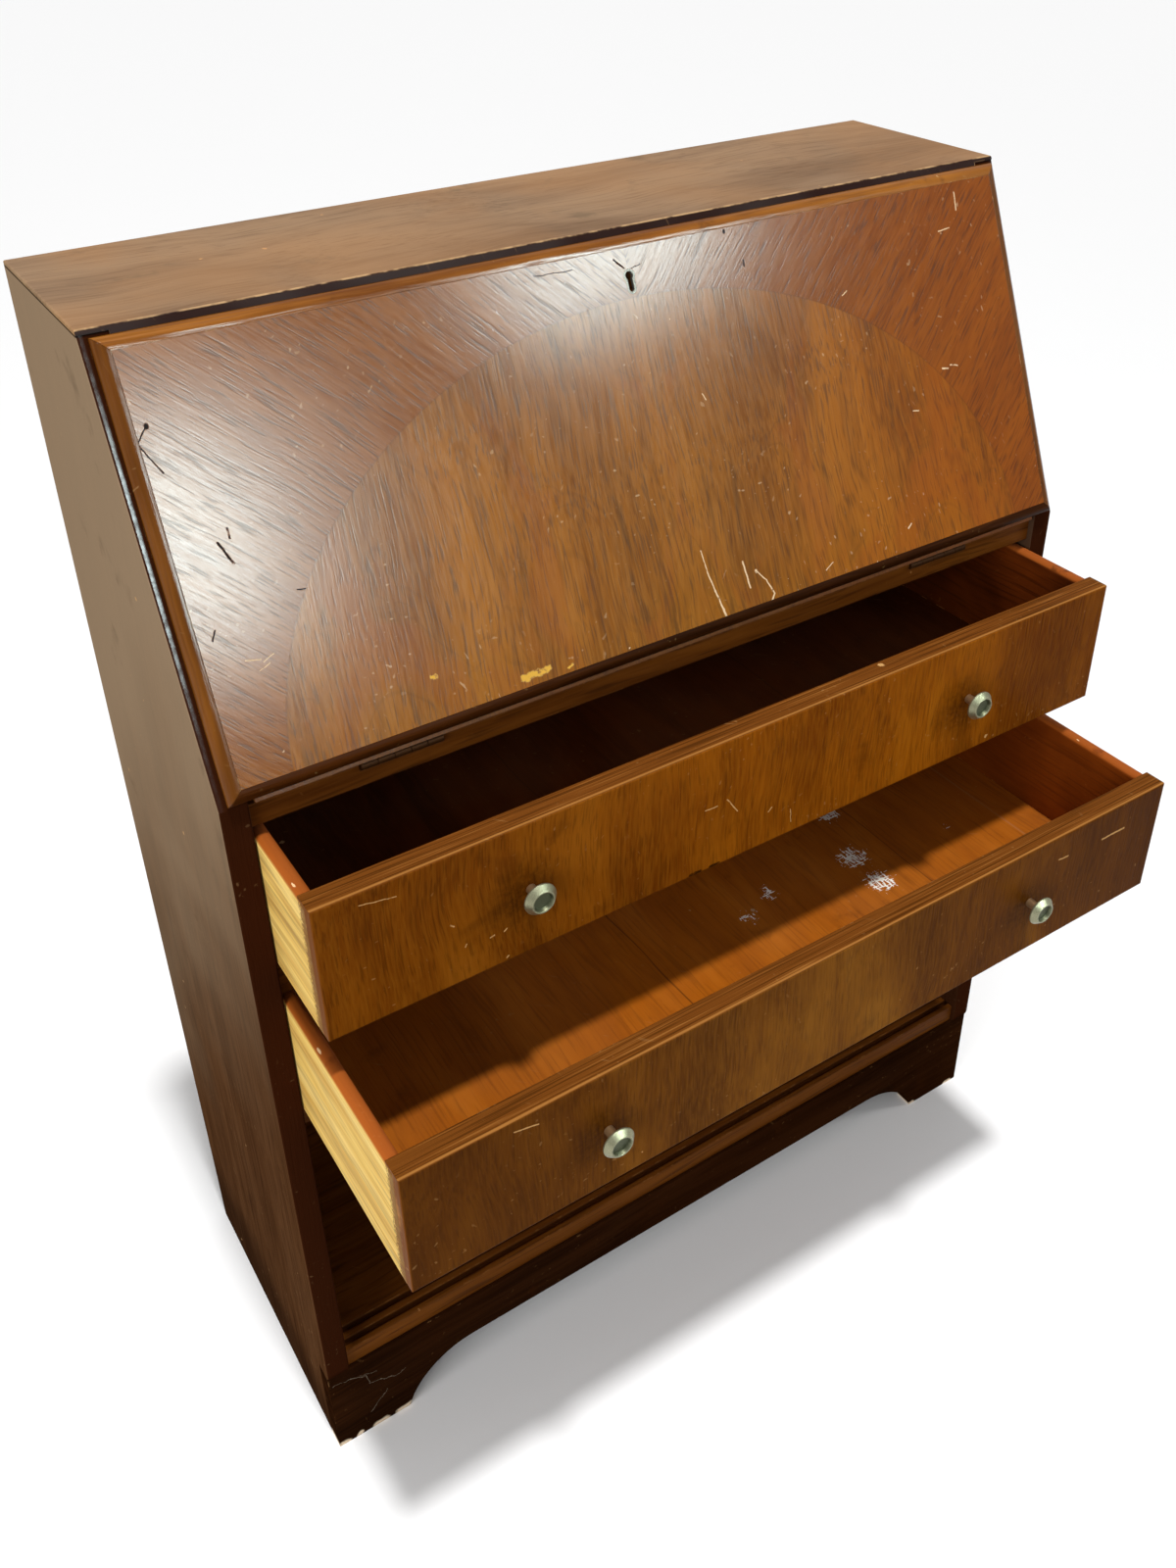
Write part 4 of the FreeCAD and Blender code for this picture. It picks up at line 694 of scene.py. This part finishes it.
drawerLook = {
    **plainLook,
    "streaks": 70, "stretch": 22, "fine": 300, "sway": 0.015,
    "tones": ((0, tone(212, 162, 72)), (0.4, tone(236, 194, 98)), (1, tone(248, 212, 126))),
    "veins": tone(150, 110, 52), "veinDepth": 0.38, "fibre": tone(255, 228, 150), "fibreDepth": 0.3,
    "pores": tone(150, 112, 54), "poreDepth": 0.25, "gloss": (0.6, 0.75),
    # the upper drawer's stain is the lower's stain with painted shade, darker inside it
    "upperStain": (tone(60, 23, 3), tone(122, 54, 12)), "lowerStain": (tone(98, 42, 8), tone(140, 66, 14)),
    "rim": tone(170, 88, 30), "rimDepth": 0.85, "rimBlots": 0.7, "chips": tone(238, 198, 148),
    "endGrain": tone(112, 66, 24), "endDepth": 0.85, "soil": tone(140, 112, 68), "soilDepth": 0.38,
    "wear": 0.7, "edge": 0.002, "bare": tone(232, 158, 92), "wearDepth": 0.9, "scratched": 0.1,
    "shader": {"Specular IOR Level": 0.1},
}


# drawer sides and backs: bare outside, stained inside, the rubbed top edge in between
def paintDrawerSide(name, look, half, frontEdge, stainTones):
    skin = Finish(name)
    grain = layGrain(skin, look, skin.along("y"), 17)
    x, y = skin.at[0], skin.at[1]
    patina = skin.use("patina", Vector=skin.place, Scale=10, Seed=8)
    stain = ramp(skin.tree, patina["Cloud"], ((0, stainTones[0]), (1, stainTones[1])))
    stain = blend(skin.tree, skin.calc("MULTIPLY", grain["Figure"], 0.35), stain, stainTones[1])
    stain = blend(skin.tree, skin.calc("MULTIPLY", grain["Pores"], 0.6), stain, stainTones[0])
    outside = skin.ease(skin.calc("ABSOLUTE", x), half - 0.0012, half - 0.0004)
    skin.colour = blend(skin.tree, outside, stain, skin.colour)
    top = skin.ease(skin.facing[2], 0.15, 0.6)
    skin.stain(top, look["rimDepth"], look["rim"])
    skin.stain(skin.both(top, patina["Blots"]), look["rimBlots"], stainTones[0])
    longer = vecCalc(skin.tree, "MULTIPLY", skin.place, (1.4, 0.45, 1.4))
    chip = skin.use("nicks", Vector=longer, Cells=120, Share=0.3, Size=0.22)["Mask"]
    skin.tint(skin.both(skin.ease(skin.facing[2], 0.1, 0.3), chip), look["chips"])
    soil = skin.ease(skin.drawn(skin.place, (1, 6, 110), 3, 0.6), 0.5, 0.66)
    skin.stain(skin.both(outside, soil), look["soilDepth"], look["soil"])
    torn = skin.calc("MULTIPLY_ADD", patina["Mottle"], 0.007, y)
    torn = skin.ease(torn, frontEdge + 0.014, frontEdge + 0.009)
    skin.stain(skin.both(outside, torn), look["endDepth"], look["endGrain"])
    layWear(skin, look, skin.place)
    return skin.close(look)


# the upper drawer takes the darker stain: painted shade inside it
for word in ("upper", "lower"):
    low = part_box(word + "_drawer_left")[0]
    cover(paintDrawerSide(word + "DrawerSide", drawerLook, -low.x, low.y, drawerLook[word + "Stain"]),
          word + "_drawer_left", word + "_drawer_right", word + "_drawer_back")

bottomLook = {
    **plainLook,
    "streaks": 24, "stretch": 4, "fine": 380, "sway": 0.02,
    "tones": ((0, tone(158, 82, 12)), (0.5, tone(172, 92, 15)), (1, tone(184, 103, 24))),
    "veins": tone(110, 52, 10), "veinDepth": 0.15, "fibre": tone(184, 98, 22), "fibreDepth": 0.2,
    "pores": tone(96, 46, 8), "poreDepth": 0.3, "gloss": (0.5, 0.6),
    "line": tone(62, 28, 8), "lineDepth": 0.7, "blotDepth": 0.35,
    "raised": tone(176, 112, 62), "raisedDepth": 0.6,
    "chalk": tone(255, 250, 240), "dust": tone(150, 112, 80), "dustDepth": 0.1,
    "wear": 0.2, "shader": {"Specular IOR Level": 0.03},
}
# worn patches on the lower drawer's bottom: (across, out from the back), reach, in mm
scuffs = (((161, 314), 15), ((160, 352), 14), ((68, 308), 8), ((35, 324), 6), ((181, 254), 12),
          ((262, 330), 3))


# drawer bottoms: thin stained board with butt joints running front to back
def paintBottom(name, look, joints, patches, raised, seed):
    skin = Finish(name)
    layGrain(skin, look, skin.along("y"), seed)
    x, y = skin.at[0], skin.at[1]
    patina = skin.use("patina", Vector=skin.place, Scale=7, Seed=seed)
    skin.stain(patina["Blots"], look["blotDepth"], look["line"])
    skin.stain(patina["Mottle"], 0.12, look["fibre"])
    bent = skin.calc("MULTIPLY_ADD", patina["Cloud"], 0.004, x)
    for joint in joints:
        line = skin.band(bent, joint - 0.0005, joint + 0.0005, 0.0006)
        skin.stain(line, look["lineDepth"], look["line"])
    if raised is not None:
        ridge = skin.band(x, raised - 0.001, raised + 0.001, 0.001)
        skin.stain(ridge, look["raisedDepth"], look["raised"])
        skin.sink(ridge, -1.5)
    ragged = noise(skin.tree, skin.place, 190, 4, 0.75)["Fac"]
    lengthwise = skin.drawn(skin.pack(x, y, 0), (520, 110, 1), 2)
    crosswise = skin.drawn(skin.pack(x, y, 7), (110, 520, 1), 2)
    loose = skin.either(lengthwise, crosswise)
    skin.stain(patina["Cloud"], look["dustDepth"], look["dust"])
    for (across, out), reach in patches:
        gap = vecCalc(skin.tree, "DISTANCE", skin.pack(x, y, 0), (across / 1000, backPlane - out / 1000, 0))
        frayed = skin.calc("MULTIPLY_ADD", ragged, 0.03, gap)
        patch = skin.ease(frayed, reach / 1000 + 0.019, reach / 1000 + 0.006)
        hatch = skin.ease(skin.calc("MULTIPLY_ADD", patch, 0.2, loose), 0.69, 0.74)
        skin.tint(skin.both(skin.ease(patch, 0, 0.2), hatch), look["chalk"])
    layWear(skin, look, skin.place)
    return skin.close(look)


# painted shade: the upper drawer's bottom is the lower's board painted much darker
upperBottomShadedLook = {
    **bottomLook,
    "tones": ((0, tone(70, 28, 4)), (0.5, tone(86, 36, 6)), (1, tone(100, 44, 9))),
    "fibre": tone(100, 46, 10),
}
cover(paintBottom("upperBottom", upperBottomShadedLook, (-0.12, 0.13), (), None, 31), "upper_drawer_bottom")
cover(paintBottom("lowerBottom", bottomLook, (-0.063, 0.2), scuffs, 0.314, 37), "lower_drawer_bottom")

railLook = {
    **plainLook,
    "streaks": 60, "stretch": 16,
    "tones": ((0, tone(90, 47, 11)), (0.5, tone(103, 57, 14)), (1, tone(116, 66, 20))),
    "fibre": tone(134, 80, 30), "veins": tone(62, 30, 8), "veinDepth": 0.15, "wear": 0.7, "edge": 0.002,
    "bare": tone(158, 106, 56), "gloss": (0.4, 0.5), "shader": {"Specular IOR Level": 0.02},
}
plinthLook = {
    **railLook,
    "tones": ((0, tone(24, 11, 4)), (0.5, tone(36, 18, 7)), (1, tone(50, 27, 12))),
    "fibre": tone(60, 34, 17), "wear": 0.45, "bare": tone(170, 126, 80), "chips": tone(246, 222, 190),
    "hair": tone(150, 136, 118), "hairDepth": 0.55, "nickShare": 0.07, "shader": {"Specular IOR Level": 0.0},
}
innerLook = {
    **plainLook,
    "tones": ((0, tone(84, 46, 20)), (0.5, tone(112, 66, 32)), (1, tone(136, 86, 46))),
    "fibre": tone(150, 100, 56), "veins": tone(62, 32, 14), "wear": 0.3, "gloss": (0.5, 0.62),
    "shader": {"Specular IOR Level": 0.2},
}
backLook = {
    **innerLook,
    "streaks": 9, "stretch": 3,
    "tones": ((0, tone(120, 84, 50)), (0.5, tone(150, 110, 70)), (1, tone(176, 136, 92))),
    "fibre": tone(186, 146, 100), "veins": tone(110, 74, 42), "gloss": (0.65, 0.8), "scratched": 0.3,
}


# plain stained boards
def paintBoard(name, look, axis, seed, darken=0.3):
    skin = Finish(name)
    layGrain(skin, look, skin.along(axis), seed)
    patina = skin.use("patina", Vector=skin.place, Scale=6, Seed=seed)
    skin.stain(patina["Cloud"], darken, look["veins"])
    skin.stain(patina["Blots"], 0.3, look["veins"])
    layWear(skin, look, skin.place)
    return skin


cover(paintBoard("railWood", railLook, "x", 41).close(railLook), "drawer_rail", "cupboard_ceiling")


# the cupboard floor: painted shade in the door grooves between rubbed ridges
def paintCupboardFloor(look):
    skin = paintBoard("cupboardFloor", look, "x", 42, 0.15)
    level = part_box("bottom_board")[1].z
    # painted shade darkens the inside of the door grooves
    grooveShade = skin.ease(skin.at[2], level - 0.0006, level - 0.0018)
    grooveShade = skin.both(grooveShade, skin.ease(skin.at[1], frontPlane + 0.008, frontPlane + 0.0085))
    skin.stain(grooveShade, 0.8, plinthLook["veins"])
    return skin.close(look)


cover(paintCupboardFloor(railLook), "bottom_board")
bedRailLook = {**railLook, "tones": ((0, tone(84, 43, 9)), (0.5, tone(104, 57, 14)), (1, tone(120, 69, 20)))}
cover(paintBoard("bedRailWood", bedRailLook, "x", 44, 0.15).close(bedRailLook), "bed_rail")
cover(paintBoard("innerWood", innerLook, "x", 43).close(innerLook),
      "writing_bed", "pigeonhole_shelf", "drawer_stops", "plinth_blocks")
cover(paintBoard("innerUpright", innerLook, "z", 45).close(innerLook),
      "pigeonhole_end_left", "pigeonhole_end_right", "pigeonhole_divider_1", "pigeonhole_divider_2",
      "pigeonhole_divider_3")
cover(paintBoard("runnerWood", innerLook, "y", 47).close(innerLook), "upper_runners")
cover(paintBoard("backPly", backLook, "z", 49).close(backLook), "back_panel")

footScratches = (((-378, 90), (-362, 87), 0.4), ((-362, 87), (-347, 79), 0.5), ((-347, 79), (-344, 66), 0.5),
                 ((-344, 66), (-333, 61), 0.4), ((-333, 61), (-322, 55), 0.4), ((-330, 43), (-338, 35), 0.4),
                 ((-338, 35), (-348, 23), 0.4), ((-352, 84), (-338, 76), 0.35), ((-322, 55), (-310, 58), 0.3))
footChips = (((-344, 0), (-336, 0), 6.0), ((-322, 0), (-306, 2), 5.5), ((-380, 0), (-374, 0), 6.0),
             ((-362, 0), (-360, 3), 3.5), ((372, 0), (366, 0), 4.5), ((306, 0), (316, 0), 4.0))


# the plinth: scratched on the left foot, chipped along the floor
def paintPlinth(look):
    skin = paintBoard("plinthWood", look, "x", 53)
    flat = skin.pack(skin.at[0], 0, skin.at[2])
    skin.stain(skin.strokes(flat, footScratches, 0.008), look["hairDepth"], look["hair"])
    skin.tint(skin.strokes(flat, footChips, 0.004), look["chips"])
    return skin.close(look)


cover(paintPlinth(plinthLook), "plinth_front")
print("wood painted")

metalLook = {
    "knob": tone(146, 144, 117), "dish": tone(48, 56, 34), "shank": tone(160, 128, 92),
    "tarnish": tone(96, 96, 66), "dishDepth": 0.85,
    "brass": (tone(146, 110, 58), tone(58, 40, 22)), "steel": (tone(120, 116, 110), tone(60, 50, 42)),
    "hinge": (tone(70, 40, 14), tone(38, 19, 6)), "thread": (tone(150, 146, 136), tone(84, 80, 72)),
}


# plated knobs: pale rim, green-black in the dish, warmer on the shank
def paintKnob(name, node, look):
    low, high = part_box(node)
    centre = (low + high) / 2
    skin = Finish(name)
    x, y, z = skin.at
    off = skin.pack(skin.calc("SUBTRACT", x, centre.x), 0, skin.calc("SUBTRACT", z, centre.z))
    radius = vecCalc(skin.tree, "LENGTH", off)
    rim = (high.x - low.x) / 2
    patina = skin.use("patina", Vector=skin.place, Scale=60, Seed=3)
    plating = ((0, look["tarnish"]), (0.5, look["knob"]), (1, look["knob"]))
    skin.colour = ramp(skin.tree, patina["Mottle"], plating)
    face = skin.ease(y, low.y + 0.006, low.y + 0.004)
    dish = skin.both(face, skin.ease(radius, rim * 0.72, rim * 0.5))
    skin.stain(dish, look["dishDepth"], look["dish"])
    skin.tint(skin.ease(y, low.y + 0.0085, low.y + 0.011), look["shank"])
    skin.rough = spread(skin.tree, patina["Mottle"], 0.45, 0.28)
    closer = vecCalc(skin.tree, "MULTIPLY", skin.place, (6, 6, 6))
    scratch = skin.use("scratches", Vector=closer, Amount=0.5)["Mask"]
    skin.height = skin.calc("MULTIPLY_ADD", scratch, -1, patina["Mottle"])
    skin.normal = skin.use("edgeWear", Radius=0.0006)["Normal"]
    return skin.close({"bump": 0.15, "relief": 0.0003, "shader": {"Metallic": 0.75}})


for word in ("upper", "lower"):
    for hand in ("left", "right"):
        cover(paintKnob(f"{word}Knob{hand.title()}", f"{word}_knob_{hand}", metalLook), f"{word}_knob_{hand}")


# aged metal: bright on rubbed edges, dark where nothing touches it
def paintMetal(name, tones, rough, metal=1.0, mirror=0.5):
    bright, dark = tones
    skin = Finish(name)
    patina = skin.use("patina", Vector=skin.place, Scale=40, Seed=9)
    skin.colour = ramp(skin.tree, patina["Mottle"], ((0, dark), (1, bright)))
    skin.stain(patina["Blots"], 0.7, dark)
    wear = skin.use("edgeWear", Vector=skin.place, Radius=0.0006, Wear=0.8, Scale=300)
    skin.tint(wear["Wear"], bright)
    scratch = skin.use("scratches", Vector=skin.place, Fine=900, Amount=0.6)["Mask"]
    skin.tint(scratch, bright)
    skin.rough = spread(skin.tree, patina["Mottle"], rough + 0.15, rough)
    skin.height = skin.calc("MULTIPLY_ADD", scratch, -1, patina["Mottle"])
    skin.normal = wear["Normal"]
    shader = {"Metallic": metal, "Specular IOR Level": mirror}
    return skin.close({"bump": 0.15, "relief": 0.0002, "shader": shader})


cover(paintMetal("agedBrass", metalLook["brass"], 0.38),
      "stay_arm_left", "stay_arm_right", "stay_studs", "stay_pivots", "strike_plate", "strike_screws")
cover(paintMetal("hingeBrass", metalLook["hinge"], 0.5, 0.3, 0.05),
      "hinge_bed_leaf_left", "hinge_bed_leaf_right", "hinge_fall_leaf_left", "hinge_fall_leaf_right",
      "hinge_pins", "hinge_bed_screws", "hinge_fall_screws")
cover(paintMetal("dullSteel", metalLook["steel"], 0.42),
      "back_pins", "lock_case", "lock_bolt", "lock_screws", "upper_knob_screws", "lower_knob_screws")
cover(paintMetal("threadMetal", metalLook["thread"], 0.4, 0.6, 0.2), "keyhole_escutcheon")
print("metal painted")

studio = {
    "floorTone": (0.95, 0.95, 0.95, 1), "floorBounce": (0.36, 0.35, 0.34, 1), "floorReach": 14,
    "room": 0.32, "backdrop": 0.55, "coolTint": (0.81, 1.0, 1.0),
    "keyPower": 2.2, "keyRise": 77.5, "keyTurn": 0, "keySize": 4, "keyReach": 4,
}


# the rays that show the pale backdrop: straight to the camera, or by way of metal and glass
def seenRays(tree):
    path = put(tree, "LightPath").outputs
    mirrored = calc(tree, "MAXIMUM", path["Is Glossy Ray"], path["Is Transmission Ray"])
    return calc(tree, "MAXIMUM", path["Is Camera Ray"], mirrored)


def buildStage(look):
    mesh = bpy.data.meshes.new("floor")
    reach = look["floorReach"]
    corners = [(x * reach, y * reach, 0) for x, y in ((-1, -1), (1, -1), (1, 1), (-1, 1))]
    mesh.from_pydata(corners, [], [(0, 1, 2, 3)])
    floor = bpy.data.objects.new("floor", mesh)
    scene.collection.objects.link(floor)
    material = bpy.data.materials.new("paleFloor")
    material.use_nodes = True
    tree = material.node_tree
    shader = tree.nodes["Principled BSDF"]
    colour = blend(tree, seenRays(tree), look["floorBounce"], look["floorTone"])
    feed(tree, shader.inputs["Base Color"], colour)
    shader.inputs["Roughness"].default_value = 0.9
    shader.inputs["Specular IOR Level"].default_value = 0.1
    mesh.materials.append(material)

    world = bpy.data.worlds.new("studio")
    scene.world = world
    world.use_nodes = True
    tree = world.node_tree
    background = tree.nodes["Background"]
    background.inputs["Color"].default_value = (1, 1, 1, 1)
    feed(tree, background.inputs["Strength"], weigh(tree, seenRays(tree), look["room"], look["backdrop"]))


def aim(item, target):
    item.rotation_euler = (Vector(target) - item.location).to_track_quat("-Z", "Y").to_euler()


def addLight(name, kind, place, target, power, **settings):
    data = bpy.data.lights.new(name, kind)
    data.energy = power
    item = bpy.data.objects.new(name, data)
    scene.collection.objects.link(item)
    item.location = place
    aim(item, target)
    for key, value in settings.items():
        setattr(data if hasattr(data, key) else item, key, value)


buildStage(studio)
rise = math.radians(studio["keyRise"])
turn = math.radians(studio["keyTurn"])
keyWay = Vector((math.sin(turn) * math.cos(rise), -math.cos(turn) * math.cos(rise), math.sin(rise)))
keyPlace = keyWay * studio["keyReach"]
addLight("key", "SUN", keyPlace, (0, 0, 0), studio["keyPower"], angle=math.radians(studio["keySize"]))
# broad lamps: place, target, power, shape and size; fills give no gleam, sheens give nothing else
fills = {
    "leftFill": ((-2.6, -1.0, 1.3), (-0.2, -0.1, 0.6), 44, "RECTANGLE", 1.6, 1.6),
    "rightRake": ((2.6, -1.2, 1.4), (0.1, -0.2, 0.5), 14, "RECTANGLE", 0.5, 0.5),
}
sheens = {
    "sheenLeft": ((0.308, -2.81, 1.877), (-0.33, -0.05, 0.9), 48, "ELLIPSE", 0.46, 0.66),
    "sheenHalo": ((0.4, -2.81, 1.9), (-0.33, -0.05, 0.9), 22, "ELLIPSE", 1.0, 1.0),
    "sheenTop": ((1.514, -2.17, 2.2), (0.02, 0.05, 0.985), 50, "RECTANGLE", 0.54, 0.42),
}
for name, (place, target, power, shape, wide, high) in fills.items():
    addLight(name, "AREA", place, target, power, shape=shape, size=wide, size_y=high, visible_glossy=False)
for name, (place, target, power, shape, wide, high) in sheens.items():
    addLight(name, "AREA", place, target, power, shape=shape, size=wide, size_y=high, visible_diffuse=False,
             color=studio["coolTint"])
print("stage and lights")

# where the camera stands; frame, focal length and optical centre are in pixels
view = {
    "frame": (1200, 1600), "focal": 1455.59, "centre": (625.77, 646.2), "sensor": 36,
    "across": -0.5588, "ahead": 1.030, "up": 1.292, "turn": (58.623, 0.507, -33.301),
}
wide, tall = view["frame"]
camera = bpy.data.cameras.new("camera")
camera.sensor_width = view["sensor"]
camera.lens = view["focal"] / tall * camera.sensor_width
camera.shift_x = (wide / 2 - view["centre"][0]) / tall
camera.shift_y = (view["centre"][1] - tall / 2) / tall
eye = bpy.data.objects.new("camera", camera)
eye.location = (view["across"], backPlane - view["ahead"], view["up"])
eye.rotation_euler = [math.radians(angle) for angle in view["turn"]]
scene.collection.objects.link(eye)
scene.camera = eye
scene.view_settings.view_transform = "Standard"
print("camera")
